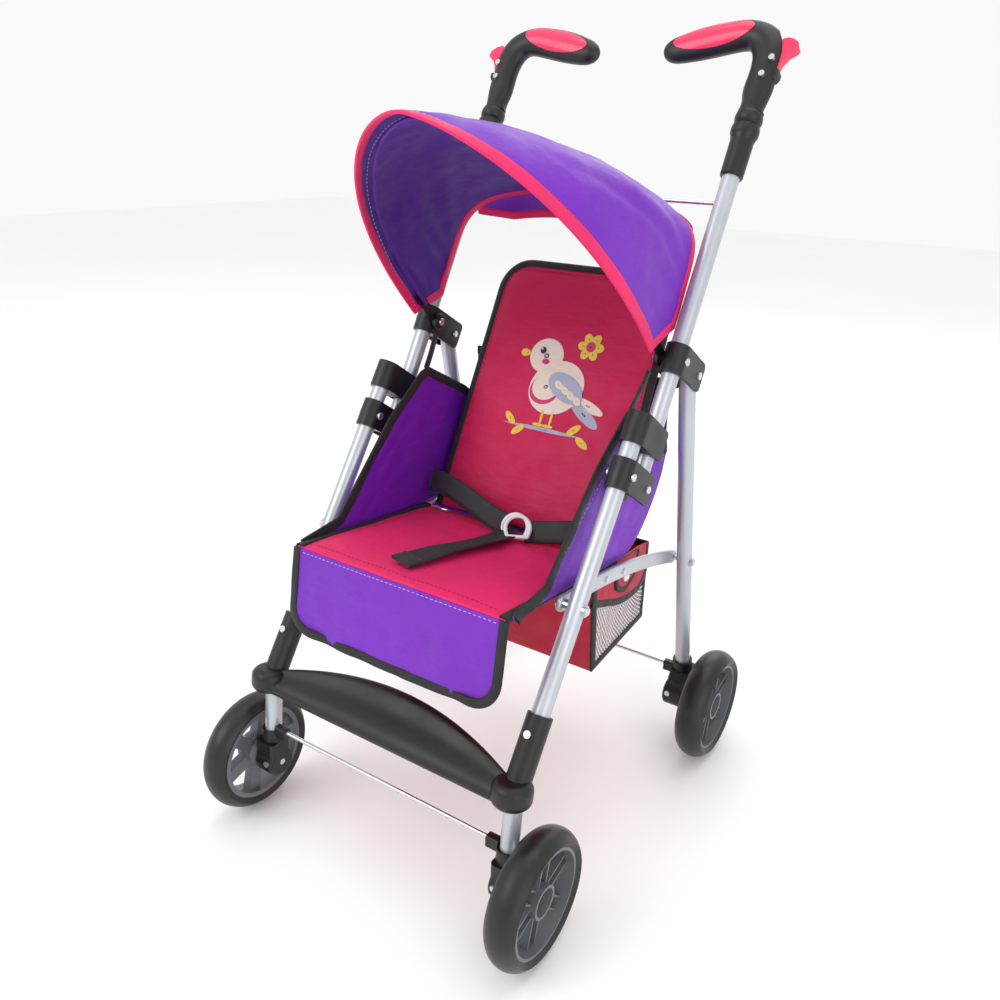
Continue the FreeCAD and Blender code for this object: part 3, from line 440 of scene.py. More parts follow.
def round_rod(name, line, radius, material, closed=False, squash_z=1.0, sides=12):
    """Round cord or piping along a line."""
    line = np.asarray(line, float)
    if closed:
        tangent = unit_rows(np.roll(line, -1, axis=0) - np.roll(line, 1, axis=0))
    else:
        tangent = unit_rows(np.gradient(line, axis=0))
    up = np.array([0.0, 0.0, 1.0])
    if abs(tangent[0][2]) > 0.9:
        up = np.array([0.0, 1.0, 0.0])
    side = np.cross(tangent[0], up)
    points, uvs = [], []
    run = 0.0
    for k in range(len(line)):
        side = side - tangent[k] * side.dot(tangent[k])
        side = side / np.linalg.norm(side)
        other = np.cross(side, tangent[k])
        if k:
            run += float(np.linalg.norm(line[k] - line[k - 1]))
        for j in range(sides):
            angle = TAU * j / sides
            offset = side * math.cos(angle) + other * math.sin(angle) * squash_z
            points.append((line[k] + offset * radius).tolist())
            uvs.append((radius * angle, run))
    faces = grid_faces(len(line), sides, 0, False, True, closed)
    if not closed:
        faces.append(tuple(range(sides)))
        faces.append(tuple(reversed(range((len(line) - 1) * sides, len(line) * sides))))
    return add_mesh(name, points, faces, material, uvs)


def ribbon(name, line, across, width, thick, material):
    """Flat webbing along a line, with rolled edges; across points to one edge."""
    line = np.asarray(line, float)
    tangent = unit_rows(np.gradient(line, axis=0))
    across = np.asarray(across, float)
    if across.ndim == 1:
        across = np.repeat(across[None], len(line), axis=0)
    across = unit_rows(across - tangent * (across * tangent).sum(axis=1, keepdims=True))
    normal = np.cross(tangent, across)
    w, h = width / 2, thick / 2
    profile = [(-w, 0), (-w + 0.4, h), (-w * 0.5, h * 0.9), (0, h), (w * 0.5, h * 0.9), (w - 0.4, h),
               (w, 0), (w - 0.4, -h), (0, -h), (-w + 0.4, -h)]
    points, uvs = [], []
    run = 0.0
    for k in range(len(line)):
        if k:
            run += float(np.linalg.norm(line[k] - line[k - 1]))
        for a, b in profile:
            points.append((line[k] + across[k] * a + normal[k] * b).tolist())
            uvs.append((a, run))
    count = len(profile)
    faces = grid_faces(len(line), count, 0, False, True)
    faces.append(tuple(range(count)))
    faces.append(tuple(reversed(range((len(line) - 1) * count, len(line) * count))))
    return add_mesh(name, points, faces, material, uvs)


def resample(line, count):
    line = np.asarray(line, float)
    run = np.concatenate([[0], np.cumsum(np.linalg.norm(np.diff(line, axis=0), axis=1))])
    targets = np.linspace(0, run[-1], count)
    return np.stack([np.interp(targets, run, line[:, k]) for k in range(line.shape[1])], axis=1)


def smooth_line(points, count):
    """Catmull-Rom curve through points, evenly spaced."""
    pts = np.asarray(points, float)
    pts = np.concatenate([[2 * pts[0] - pts[1]], pts, [2 * pts[-1] - pts[-2]]])
    fine = []
    for k in range(1, len(pts) - 2):
        p0, p1, p2, p3 = pts[k - 1:k + 3]
        for t in np.linspace(0, 1, 24, endpoint=False):
            fine.append(0.5 * (2 * p1 + (p2 - p0) * t + (2 * p0 - 5 * p1 + 4 * p2 - p3) * t * t
                               + (3 * p1 - p0 - 3 * p2 + p3) * t ** 3))
    fine.append(pts[-2])
    return resample(fine, count)


def ruffle(grid, amount, scale, seed, mask=None):
    """Moves a grid along its normals by soft noise; mask is rows x columns of 0 to 1."""
    normals = grid_normals(grid)
    rows, columns = grid.shape[:2]
    moved = grid.copy()
    for i in range(rows):
        for j in range(columns):
            p = grid[i, j] / scale
            n = noise.noise(Vector((p[0] + seed, p[1], p[2])))
            n += 0.5 * noise.noise(Vector((p[0] * 2.3, p[1] * 2.3 + seed, p[2] * 2.3)))
            share = 1.0 if mask is None else mask[i, j]
            moved[i, j] = grid[i, j] + normals[i, j] * (amount * n * share)
    return moved


def crease(grid, start, end, depth, width):
    """Pulls a soft fold into a grid along the line from start to end, given in grid shares."""
    normals = grid_normals(grid)
    rows, columns = grid.shape[:2]
    moved = grid.copy()
    a = np.array(start, float)
    b = np.array(end, float)
    d = b - a
    for i in range(rows):
        for j in range(columns):
            p = np.array([i / (rows - 1), j / (columns - 1)])
            t = min(max((p - a).dot(d) / d.dot(d), 0.0), 1.0)
            gap = np.linalg.norm(p - (a + d * t))
            ends = math.sin(math.pi * min(max(t, 0.02), 0.98)) ** 0.5
            push = math.exp(-(gap / width) ** 2) - 0.5 * math.exp(-((gap - 1.6 * width) / width) ** 2)
            moved[i, j] = grid[i, j] + normals[i, j] * (depth * push * ends)
    return moved


# ------------------------------------------------------------------ CAD finishes
SLOT_MATERIALS = {
    "tube_silver": SILVER, "steel_bright": STEEL, "plastic_black": BLACK, "tyre_black": TYRE,
    "rim_grey": RIM, "trim_red": RED, "ring_white": WHITE, "seat_pink": PINK,
    "fabric_purple": PURPLE, "fabric_crimson": CRIMSON, "webbing_black": WEBBING,
}
SMOOTH_ANGLE = math.radians(38)

for part in frame["record"]["subparts"]:
    cad = frame["nodes"][part["node"]]
    cad.data.materials.clear()
    cad.data.materials.append(SLOT_MATERIALS[part["material_slot"]])
    cad.data.shade_smooth()
    cad.data.set_sharp_from_angle(angle=SMOOTH_ANGLE)
# The bow takes the darker purple copy: painted shade inside the hood.
frame["nodes"]["canopy_bow"].data.materials[0] = PURPLE_PAINTED_SHADE


def on_seat(piece):
    """Seat cloth: carried by the front frame."""
    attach(piece, "front_frame")
    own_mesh(piece)
    return piece


# ------------------------------------------------------------------ hood
def mix(a, b, s):
    return a + (b - a) * s


HOOD_HALF = 128.2


def hood_rib(s, count):
    """Arch at share s from the front hem to the rear edge, left to right over the top."""
    base = np.array([mix(214.0, 259.0, s), mix(469.0, 482.0, s)])
    top = np.array([mix(37.0, 312.5, s), mix(651.0, 586.0, s) + 19.0 * 4 * s * (1 - s)])
    rise = top - base
    height = np.linalg.norm(rise) - 1.0
    rise = rise / np.linalg.norm(rise)
    side_power = 2 / (1.6 + 0.9 * s)
    top_power = 2 / (2.2 + 4.5 * s)
    half = np.linspace(0, 1, 240) ** 2.5 * math.pi / 2
    angles = np.concatenate([half, math.pi - half[-2::-1]])
    points = []
    for t in angles:
        c = math.cos(t)
        x = -HOOD_HALF * math.copysign(abs(c) ** side_power, c)
        h = height * max(math.sin(t), 0.0) ** top_power
        points.append((x, base[0] + rise[0] * h, base[1] + rise[1] * h))
    return resample(points, count)


HOOD_ROWS = 49
HOOD_COLUMNS = 121
hood = np.stack([hood_rib(s, HOOD_COLUMNS) for s in np.linspace(0, 1, HOOD_ROWS)])
row_share = np.linspace(0, 1, HOOD_ROWS)[:, None] * np.ones((1, HOOD_COLUMNS))
free = np.clip(np.minimum(row_share, 1 - row_share) * 6, 0, 1) ** 0.7
hood = ruffle(hood, -1.7, 46.0, 3.1, free)
for start, end, depth, width in (
        ((0.98, 0.07), (0.25, 0.33), -1.9, 0.022), ((0.98, 0.05), (0.45, 0.15), -1.6, 0.018),
        ((0.98, 0.10), (0.35, 0.47), -1.5, 0.03), ((0.98, 0.93), (0.25, 0.67), -1.9, 0.022),
        ((0.98, 0.95), (0.45, 0.85), -1.6, 0.018), ((0.98, 0.90), (0.35, 0.53), -1.4, 0.03),
        ((0.12, 0.86), (0.55, 0.97), -1.3, 0.02), ((0.12, 0.14), (0.55, 0.03), -1.3, 0.02)):
    hood = crease(hood, start, end, depth, width)
# The hood's inside faces take the darker purple copy: painted shade.
hood_cloth = cloth_sheet("hood_cloth", hood, 1.4, PURPLE, "stretched", ("canopy_bow", "canopy_rear_rod"),
                         PURPLE_PAINTED_SHADE)
hood_trims = []
hood_trims.append(edge_band("hood_front_binding", hood[0], hood[2], 9.5, 2.6, PINK_TAPE))
hood_trims.append(edge_band("hood_rear_binding", hood[-1], hood[-3], 8.5, 2.4, PINK_TAPE))
for side, column, inner in (("right", 0, 2), ("left", HOOD_COLUMNS - 1, HOOD_COLUMNS - 3)):
    hood_trims.append(edge_band("hood_" + side + "_binding", hood[:, column], hood[:, inner], 8.0, 2.4,
                                PINK_TAPE))
normals = grid_normals(hood)
for row, lift, material in ((5, -0.95, THREAD), (2, 0.9, THREAD)):
    line = hood[row] + normals[row] * lift
    hood_trims.append(stitches("hood_stitches_" + str(row), line, normals[row], 5.2, 3.2, 0.38, material))

# The valance behind the rear rod.
top_share = np.clip((hood[-1][:, 2] - 560.0) / 20.0, 0, 1)
keep = np.nonzero(top_share > 0.15)[0]
drops = np.linspace(0, 1, 10)
valance = []
for d in drops:
    row = hood[-1][keep].copy()
    share = top_share[keep]
    row[:, 1] += 3.2 + 2.0 * d + 1.6 * np.sin(row[:, 0] / 9.0) * d
    row[:, 2] -= 24.0 * d * share - 1.0
    valance.append(row)
valance = np.array(valance)
valance_cloth = cloth_sheet("hood_valance", valance, 1.4, PURPLE, "hung", ("canopy_rear_rod",))
hood_trims.append(edge_band("hood_valance_binding", valance[-1], valance[-3], 7.0, 2.4, PINK_TAPE))

for piece in [hood_cloth] + hood_trims[:-1]:
    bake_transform(piece)
for piece in (valance_cloth, hood_trims[-1]):
    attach(piece, "handle_frame")
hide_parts("canopy")


# ------------------------------------------------------------------ pads
def closed_pair(name, front, back, material):
    """Stuffed piece made of a front and a back grid that share their border."""
    rows, columns = front.shape[:2]
    count = rows * columns
    points = np.concatenate([front.reshape(-1, 3), back.reshape(-1, 3)])
    faces = grid_faces(rows, columns) + grid_faces(rows, columns, count, True)
    border = list(range(columns)) + [i * columns + columns - 1 for i in range(1, rows)]
    border += [(rows - 1) * columns + j for j in range(columns - 2, -1, -1)]
    border += [i * columns for i in range(rows - 2, 0, -1)]
    for k, a in enumerate(border):
        b = border[(k + 1) % len(border)]
        faces.append((b, a, a + count, b + count))
    uv = grid_uv(front)
    return add_mesh(name, points.tolist(), faces, material, uv + uv)


def swell(u, v, power=6):
    """1 in the middle of a pad and 0 on its edges; u and v run from -1 to 1."""
    return (1 - abs(u) ** power) * (1 - abs(v) ** power)


PAN_HALF = 112.6
PAN_FRONT = np.array([25.0, 290.0])
PAN_REAR = np.array([211.0, 268.0])
PAN_THICK = 7.0


def pan_point(u, v, top):
    y, z = PAN_FRONT + (PAN_REAR - PAN_FRONT) * v
    full = swell(u, 2 * v - 1, 8)
    if not top:
        return (u * PAN_HALF, y, z - PAN_THICK * (0.6 + 0.4 * full))
    dip = -2.5 * math.exp(-((v - 0.62) / 0.3) ** 2) * (1 - u * u)
    puff = 3.6 * full + dip
    lines = 1.1 * math.sin(26 * v + 3 * u + 2.5 * noise.noise(Vector((u * 2, v * 3, 4.0))))
    lines *= full * math.exp(-((v - 0.95) / 0.35) ** 2)
    soft = 1.8 * noise.noise(Vector((u * 2.2, v * 3.1, 1.7))) * full
    return (u * PAN_HALF, y, z + puff + soft + lines)


PAN_ROWS, PAN_COLUMNS = 61, 73
pan_u = np.linspace(-1, 1, PAN_COLUMNS)
pan_v = np.linspace(0, 1, PAN_ROWS)
pan_top = np.array([[pan_point(u, v, True) for u in pan_u] for v in pan_v])
pan_low = np.array([[pan_point(u, v, False) for u in pan_u] for v in pan_v])
pan = closed_pair("seat_cushion", pan_top, pan_low, PINK)
on_seat(pan)
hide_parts("seat_pan")
for side, j, k in (("right", 0, 3), ("left", PAN_COLUMNS - 1, PAN_COLUMNS - 4)):
    edge = (pan_top[:, j] + pan_low[:, j]) / 2 + np.array([0, 0, 1.2])
    inner = (pan_top[:, k] + pan_low[:, k]) / 2 + np.array([0, 0, 1.2])
    on_seat(edge_band("seat_" + side + "_binding", edge, inner, 6.5, 6.4, BLACK_TAPE))
up = np.tile([0.0, 0.1, 1.0], (PAN_COLUMNS, 1))
front_seam = pan_top[3] + up * 0.3
on_seat(stitches("seat_front_stitches", front_seam[4:-4], up[4:-4], 4.6, 2.9, 0.35, DARK_THREAD))


BACK_BOTTOM = np.array([214.0, 272.0])
BACK_TOP = np.array([333.0, 515.0])
BACK_LENGTH = float(np.linalg.norm(BACK_TOP - BACK_BOTTOM))
BACK_UP = (BACK_TOP - BACK_BOTTOM) / BACK_LENGTH
BACK_OUT = np.array([BACK_UP[1], -BACK_UP[0]])
BACK_CORNER = 32.0


def back_half(v):
    """Half width of the backrest at share v of its height."""
    half = mix(103.0, 98.0, v)
    from_top = (1 - v) * BACK_LENGTH
    if from_top < BACK_CORNER:
        half -= BACK_CORNER - math.sqrt(max(BACK_CORNER ** 2 - (BACK_CORNER - from_top) ** 2, 0))
    return half


def back_point(u, v, front, lift=0.0):
    full = swell(u, 2 * v - 1, 6)
    if front:
        out = 3.2 - 5.0 * full - lift
        out -= 0.9 * noise.noise(Vector((u * 1.8, v * 2.6, 8.0))) * full
    else:
        out = 5.5 + 3.5 * full
    y, z = BACK_BOTTOM + BACK_UP * BACK_LENGTH * v + BACK_OUT * out
    return (u * back_half(v), y, z)


BACK_ROWS, BACK_COLUMNS = 81, 61
back_v = 1 - np.linspace(1, 0, BACK_ROWS) ** 1.4
back_u = np.linspace(-1, 1, BACK_COLUMNS)
back_front = np.array([[back_point(u, v, True) for u in back_u] for v in back_v])
back_rear = np.array([[back_point(u, v, False) for u in back_u] for v in back_v])
# The backrest takes the darker pink copy: painted shade under the hood.
rest = closed_pair("backrest_pad", back_front, back_rear, PINK_PAINTED_SHADE)
on_seat(rest)
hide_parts("backrest")


def rim_of(front, back, inset):
    """Border points of a pad from its bottom left, over the top, to its bottom right."""
    middle = (front + back) / 2
    a = np.concatenate([middle[:, 0], middle[-1, 1:-1], middle[::-1, -1]])
    b = np.concatenate([middle[:, inset], middle[-1 - inset, 1:-1], middle[::-1, -1 - inset]])
    return a, b


edge, inner = rim_of(back_front, back_rear, 3)
centre = np.array([0.0, *(BACK_BOTTOM + BACK_UP * BACK_LENGTH * 0.5)])
inner = edge + unit_rows(centre - edge) * 5.0
on_seat(edge_band("backrest_piping", edge, inner, 6.0, 5.4, BLACK_TAPE))
seam_v = np.linspace(0.03, 0.965, 60)
seam = [back_point(-0.925, v, True, 0.3) for v in seam_v]
seam += [back_point(u, 0.965, True, 0.3) for u in np.linspace(-0.9, 0.9, 40)]
seam += [back_point(0.925, v, True, 0.3) for v in seam_v[::-1]]
facing = np.tile([0.0, -BACK_OUT[0], -BACK_OUT[1]], (len(seam), 1))
on_seat(stitches("backrest_stitches", seam, facing, 4.8, 3.0, 0.35, DARK_THREAD))


# ------------------------------------------------------------------ printed bird, a design of its own
PRINT_UP = 0.555 * BACK_LENGTH
PRINT_LIFT = 0.35


def on_back(x, s, lift):
    v = s / BACK_LENGTH
    return back_point(x / back_half(v), v, True, lift)


def patch(name, x, s, radius, material, layer=1, turn=0.0, wide=1.0, tall=1.0):
    """Printed shape round (x, s) on the backrest; radius is a function of the angle."""
    rings, around = 7, 60
    points = [on_back(x, PRINT_UP + s, PRINT_LIFT * layer)]
    uvs = [(x, s)]
    for i in range(1, rings + 1):
        for k in range(around):
            angle = TAU * k / around
            r = radius(angle) * i / rings
            px, py = r * math.cos(angle) * wide, r * math.sin(angle) * tall
            qx = x + px * math.cos(turn) - py * math.sin(turn)
            qs = s + px * math.sin(turn) + py * math.cos(turn)
            points.append(on_back(qx, PRINT_UP + qs, PRINT_LIFT * layer))
            uvs.append((qx, qs))
    faces = [(0, 1 + k, 1 + (k + 1) % around) for k in range(around)]
    faces += grid_faces(rings, around, 1, False, True)
    made = add_mesh(name, points, faces, material, uvs)
    on_seat(made)
    return made


def ellipse(a, b):
    return lambda t: a * b / math.hypot(b * math.cos(t), a * math.sin(t))


patch("print_body", 2, -6, ellipse(31, 27), PRINT_CREAM, 1, math.radians(28))
patch("print_head", -18, 24, ellipse(19, 18), PRINT_CREAM, 1)
patch("print_tail_a", 40, -27, ellipse(21, 6), PRINT_GREY, 1, math.radians(-32))
patch("print_tail_b", 42, -18, ellipse(19, 5), PRINT_CREAM, 1, math.radians(-18))
patch("print_breast", -10, -10, ellipse(17, 15), PRINT_ROSE, 2, math.radians(20))
patch("print_breast_light", -9, -7, ellipse(15.5, 13.5), PRINT_CREAM, 3, math.radians(20))
patch("print_wing", 13, -5, ellipse(22, 12.5), PRINT_GREY, 4, math.radians(-26))
for k in range(4):
    patch("print_feather_" + str(k), 5 + 8 * k, -3 - 4.2 * k, ellipse(5.4, 3.4), PRINT_CREAM, 5,
          math.radians(-40))
patch("print_beak", -40, 24, lambda t: 8.0 * (0.35 + 0.65 * abs(math.cos((t - math.pi) / 2)) ** 8),
      PRINT_YELLOW, 2)
patch("print_eye", -23, 29, ellipse(3.3, 3.6), PRINT_DARK, 3)
patch("print_eye_glint", -24.2, 30.4, ellipse(1.0, 1.0), PRINT_CREAM, 4)
patch("print_cheek", -17, 18, ellipse(4.2, 2.8), PRINT_ROSE, 3)
for k, x in enumerate((-5, 6)):
    patch("print_leg_" + str(k), x, -38, ellipse(1.4, 8), PRINT_YELLOW, 2)
    patch("print_foot_" + str(k), x - 2, -46, ellipse(6.5, 1.6), PRINT_YELLOW, 2)
patch("print_branch", 0, -50, ellipse(48, 2.0), PRINT_GREY, 1)
for k, (x, s, turn) in enumerate(((-40, -45, 140), (-28, -55, 220), (34, -44, 40), (46, -55, -30))):
    patch("print_leaf_" + str(k), x, s, ellipse(8.5, 3.6), PRINT_YELLOW, 2, math.radians(turn))
for k in range(6):
    angle = TAU * k / 6
    patch("print_petal_" + str(k), 28 + 8.5 * math.cos(angle), 40 + 8.5 * math.sin(angle), ellipse(6.0, 4.6),
          PRINT_YELLOW, 2, angle)
patch("print_flower_eye", 28, 40, ellipse(5.2, 5.2), PRINT_ROSE, 3)


# ------------------------------------------------------------------ wings, back and front flap
WING_X = 114.6
WING_LOW = [(31, 289), (80, 284), (150, 276), (205, 270), (232, 270), (262, 288), (290, 322), (302, 352)]
WING_TOP = [(31.5, 291.5), (80, 297), (97, 315), (156, 376), (206, 413), (217, 416), (281, 383), (299, 370)]
WING_ROWS, WING_COLUMNS = 25, 81


def wing_grid(sign, seed):
    low = smooth_line([(0.0, y, z) for y, z in WING_LOW], WING_COLUMNS)
    top = resample([(0.0, y, z) for y, z in WING_TOP], WING_COLUMNS)
    grid = []
    for v in np.linspace(0, 1, WING_ROWS):
        row = low + (top - low) * v
        for p in row:
            y, z = p[1], p[2]
            free_share = min(v * 6, (1 - v) * 6, 1.0)
            wave = noise.noise(Vector((y / 30.0, z / 55.0, seed)))
            wave += 0.6 * noise.noise(Vector(((y - z) / 14.0, (y + z) / 70.0, seed + 5)))
            p[0] = sign * (WING_X + 1.7 * wave * free_share)
        grid.append(row)
    grid = np.array(grid)
    return grid if sign > 0 else grid[:, ::-1]


for side, sign, seed in (("left", 1, 2.0), ("right", -1, 9.0)):
    grid = wing_grid(sign, seed)
    held_by = ("seat_rails", "front_tube_" + side)
    wing = cloth_sheet("wing_cloth_" + side, grid, 1.8, PURPLE, "stretched", held_by)
    on_seat(wing)
    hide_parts("side_wing_" + side)
    on_seat(edge_band("wing_top_binding_" + side, grid[-1], grid[-4], 8.5, 3.0, BLACK_TAPE))
    column = -1 if sign > 0 else 0
    inner = -5 if sign > 0 else 4
    rear = edge_band("wing_rear_binding_" + side, grid[:, column], grid[:, inner], 7.0, 3.0, BLACK_TAPE)
    on_seat(rear)
    wing_normals = grid_normals(grid)
    line = grid[-5] + wing_normals[-5] * 1.1
    sewn = stitches("wing_stitches_" + side, line, wing_normals[-5], 5.0, 3.0, 0.35, THREAD)
    on_seat(sewn)

BACK_PANEL = [(219, 265), (235, 271), (262, 289), (290, 322), (302, 350), (301.5, 385), (301, 423)]
profile = smooth_line([(0.0, y, z) for y, z in BACK_PANEL], 45)
panel = []
for i, p in enumerate(profile):
    v = i / 44
    row = []
    for x in np.linspace(-112.4, 112.4, 61):
        share = 1 - (x / 112.4) ** 2
        sag = 5.5 * share * math.sin(math.pi * min(v * 1.15, 1.0)) + 1.5 * noise.noise(
            Vector((x / 40.0, v * 4, 3.0))) * share
        row.append((x, p[1] + 1.0 + sag, p[2] - sag * 0.4))
    panel.append(row)
panel = np.array(panel)[:, ::-1]
sling = cloth_sheet("back_sling", panel, 1.6, PURPLE, "hung", ("side_wing_left", "side_wing_right"))
on_seat(sling)
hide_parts("back_panel")
on_seat(edge_band("back_sling_binding", panel[-1], panel[-3], 8.0, 3.0, BLACK_TAPE))

FLAP_HALF = 115.2
FLAP_TOP = np.array([23.6, 288.6])
FLAP_LOW = np.array([10.0, 210.0])
FLAP_CORNER = 26.0
APRON_FACING = (0.0, 0.985, -0.17)


def flap_point(u, v):
    drop = float(np.linalg.norm(FLAP_LOW - FLAP_TOP))
    from_low = (1 - v) * drop
    half = FLAP_HALF
    if from_low < FLAP_CORNER:
        half -= FLAP_CORNER - math.sqrt(max(FLAP_CORNER ** 2 - (FLAP_CORNER - from_low) ** 2, 0))
    y, z = FLAP_TOP + (FLAP_LOW - FLAP_TOP) * v
    wide_wave = 1.6 * noise.noise(Vector((u * 3.0, v * 0.8, 6.0)))
    wave = wide_wave + 0.9 * noise.noise(Vector((u * 7.0, v * 2.5, 2.0)))
    return (u * half, y + wave * min(v * 3, 1.0) + 0.8, z)


flap_v = 1 - np.linspace(1, 0, 37) ** 1.3
flap = np.array([[flap_point(u, v) for u in np.linspace(-1, 1, 81)] for v in flap_v])
apron = cloth_sheet("front_apron", flap, 1.8, PURPLE, "hung", ("seat_pan",), None, APRON_FACING)
on_seat(apron)
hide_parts("front_flap")
edge = resample(np.concatenate([flap[:, 0], flap[-1, 1:-1], flap[::-1, -1]]), 200)
flap_centre = np.array([0.0, 16.8, 262.0])
toward = flap_centre - edge
toward[:, 0] *= 0.6
on_seat(edge_band("front_apron_binding", edge, edge + unit_rows(toward) * 5.0, 7.5, 3.2, BLACK_TAPE))
flap_normals = grid_normals(flap)
line = flap[1] - flap_normals[1] * 1.1
on_seat(stitches("front_apron_stitches", line[3:-3], -flap_normals[1][3:-3], 4.8, 3.0, 0.35, THREAD))


# ------------------------------------------------------------------ basket
def plane_grid(top_line, low_line, rows, columns, smooth=False):
    """Cloth between an upper and a lower line of points."""
    line = smooth_line if smooth else resample
    top = line(top_line, columns)
    low = line(low_line, columns)
    return np.array([low + (top - low) * v for v in np.linspace(0, 1, rows)])


def border_mask(rows, columns, share=5.0):
    i = np.minimum(np.linspace(0, 1, rows), 1 - np.linspace(0, 1, rows))[:, None]
    j = np.minimum(np.linspace(0, 1, columns), 1 - np.linspace(0, 1, columns))[None]
    return np.clip(np.minimum(i, j) * share, 0, 1)


BASKET_HALF = 111.0
BASKET_TAPER = 19.5


def basket_x(y):
    """Half width of the basket, which draws in towards the rear."""
    return BASKET_HALF - BASKET_TAPER * (y - 172.0) / 162.0


def basket_line(y, z, sign=1):
    return [(sign * basket_x(y), y, z), (-sign * basket_x(y), y, z)]


BASKET_PANELS = {
    "front": (basket_line(173, 258), basket_line(183, 160)),
    "bottom": (basket_line(183, 160), basket_line(331, 146)),
    "rear": (basket_line(333, 236, -1), basket_line(332, 146, -1)),
}
for key, (top_line, low_line) in BASKET_PANELS.items():
    grid = plane_grid(top_line, low_line, 25, 61)
    grid = ruffle(grid, 2.6, 42.0, 4.0 + len(key), border_mask(25, 61))
    panel_piece = cloth_sheet("basket_" + key, grid, 1.5, CRIMSON, "stretched", ("seat_rails",))
    on_seat(panel_piece)
    if key == "front":
        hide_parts("basket")
        on_seat(edge_band("basket_front_binding", grid[-1], grid[-3], 7.0, 3.0, BLACK_TAPE))
    if key == "rear":
        on_seat(edge_band("basket_rear_binding", grid[-1], grid[-3], 6.5, 3.0, BLACK_TAPE))

NET_TOP = [(173.5, 240), (215, 222), (258, 204.5), (310, 195), (332, 207)]
SIDE_TOP = [(172.5, 258), (216, 258), (280, 248), (310, 242), (333, 236)]
for side, sign in (("left", 1), ("right", -1)):
    def side_points(points, out=0.0):
        return [(sign * (basket_x(y) + out), y, z) for y, z in points]

    top = side_points(SIDE_TOP)
    brim = side_points(NET_TOP)
    low = side_points([(183.0, 160.0), (257.0, 152.0), (332.0, 146.0)])
    if sign < 0:
        top, brim, low = top[::-1], brim[::-1], low[::-1]
    upper = plane_grid(top, brim, 17, 61, True)
    upper = ruffle(upper, 1.6, 26.0, 7.0 + sign, border_mask(17, 61))
    side_cloth = cloth_sheet("basket_side_" + side, upper, 1.5, CRIMSON, "hung", ("seat_rails",))
    on_seat(side_cloth)
    brim_line = smooth_line(brim, 61)
    net_grid = np.array([smooth_line(low, 61) + (brim_line - smooth_line(low, 61)) * v
                         for v in np.linspace(0, 1, 21)])
    net_grid = ruffle(net_grid, 1.8, 30.0, 2.0 + sign, border_mask(21, 61))
    net_piece = cloth_sheet("basket_net_" + side, net_grid, 0.8, NET, "stretched", ("seat_rails",))
    on_seat(net_piece)
    on_seat(edge_band("basket_brim_" + side, brim_line, brim_line - np.array([0, 0, 5.0]), 6.5, 3.0, BLACK_TAPE))
    for label, a, b, inward in (
            ("front", (172.5, 259.0), (183.0, 160.0), (0, 1, 0)),
            ("low", (183.0, 160.0), (332.0, 146.0), (0, 0, 1)),
            ("rear", (332.0, 146.0), (333.0, 236.0), (0, -1, 0))):
        line = resample(side_points([a, b]), 30)
        piece = edge_band("basket_" + label + "_edge_" + side, line, line + np.array(inward) * 5.0, 6.5, 3.2,
                          BLACK_TAPE)
        on_seat(piece)
    flap_top = side_points([(222, 257), (258, 251), (295, 244)], 2.2)
    flap_low = side_points([(231, 231), (236, 224), (258, 213), (282, 216), (289, 222)], 2.2)
    if sign < 0:
        flap_top, flap_low = flap_top[::-1], flap_low[::-1]
    tongue = plane_grid(flap_top, flap_low, 13, 41, True)
    tongue_cloth = cloth_sheet("basket_tongue_" + side, tongue, 1.4, CRIMSON, "hung", ("seat_rails",))
    on_seat(tongue_cloth)
    if sign > 0:
        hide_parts("basket_flaps")
    rim = np.concatenate([tongue[::-1, 0], tongue[0, 1:-1], tongue[:, -1]])
    toward = unit_rows(np.array([sign * (basket_x(258.0) + 2.2), 258.0, 238.0]) - rim) * 4.0
    tongue_binding = edge_band("basket_tongue_binding_" + side, rim, rim + toward, 5.0, 2.8, BLACK_TAPE)
    on_seat(tongue_binding)


def button(name, x, y, z, sign, radius, height, material):
    """Domed press stud facing out along X."""
    profile = [(0.0, radius), (height * 0.55, radius), (height, radius * 0.72), (height * 0.8, radius * 0.5),
               (height * 0.8, 0.01)]
    points = []
    for out, r in profile:
        for k in range(28):
            angle = TAU * k / 28
            points.append((x + sign * out, y + r * math.cos(angle), z + r * math.sin(angle)))
    faces = grid_faces(len(profile), 28, 0, sign > 0, True)
    return add_mesh(name, points, faces, material)


for side, sign in (("left", 1), ("right", -1)):
    stud_x = sign * (basket_x(257.0) + 3.0)
    stud = button("press_stud_" + side, stud_x, 257.0, 230.0, sign, 5.2, 2.6, WHITE)
    on_seat(stud)


# ------------------------------------------------------------------ belt
BELT_UP = np.array([0.0, 0.42, 0.9])
BELT_LEFT = [(-101, 204, 301), (-80, 200, 303), (-48, 193, 298), (-14, 187, 289), (9, 186, 284)]
belt_left = smooth_line(BELT_LEFT, 60)
belt_right = smooth_line([(27, 187, 283), (50, 191, 287), (75, 197, 292), (101, 205, 298)], 50)
tail = smooth_line([(15, 184, 283), (10, 166, 281), (3, 132, 284.6), (-5, 92, 290), (-12, 48, 293.5)], 70)
tail_across = np.stack([np.ones(70), 0.16 + 0 * np.arange(70), 0.10 * np.sin(np.linspace(0, 5, 70))], axis=1)
belt_pieces = [
    ribbon("lap_belt_right", belt_left, BELT_UP, 22, 1.6, WEBBING),
    ribbon("lap_belt_left", belt_right, BELT_UP, 22, 1.6, WEBBING),
    ribbon("belt_tail", tail, tail_across, 24, 1.6, WEBBING),
    ribbon("belt_tail_hem", tail[-9:] + np.array([0, 0, 1.5]), tail_across[-9:], 24, 1.5, WEBBING),
]
for piece in belt_pieces:
    on_seat(piece)
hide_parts("seat_belt")


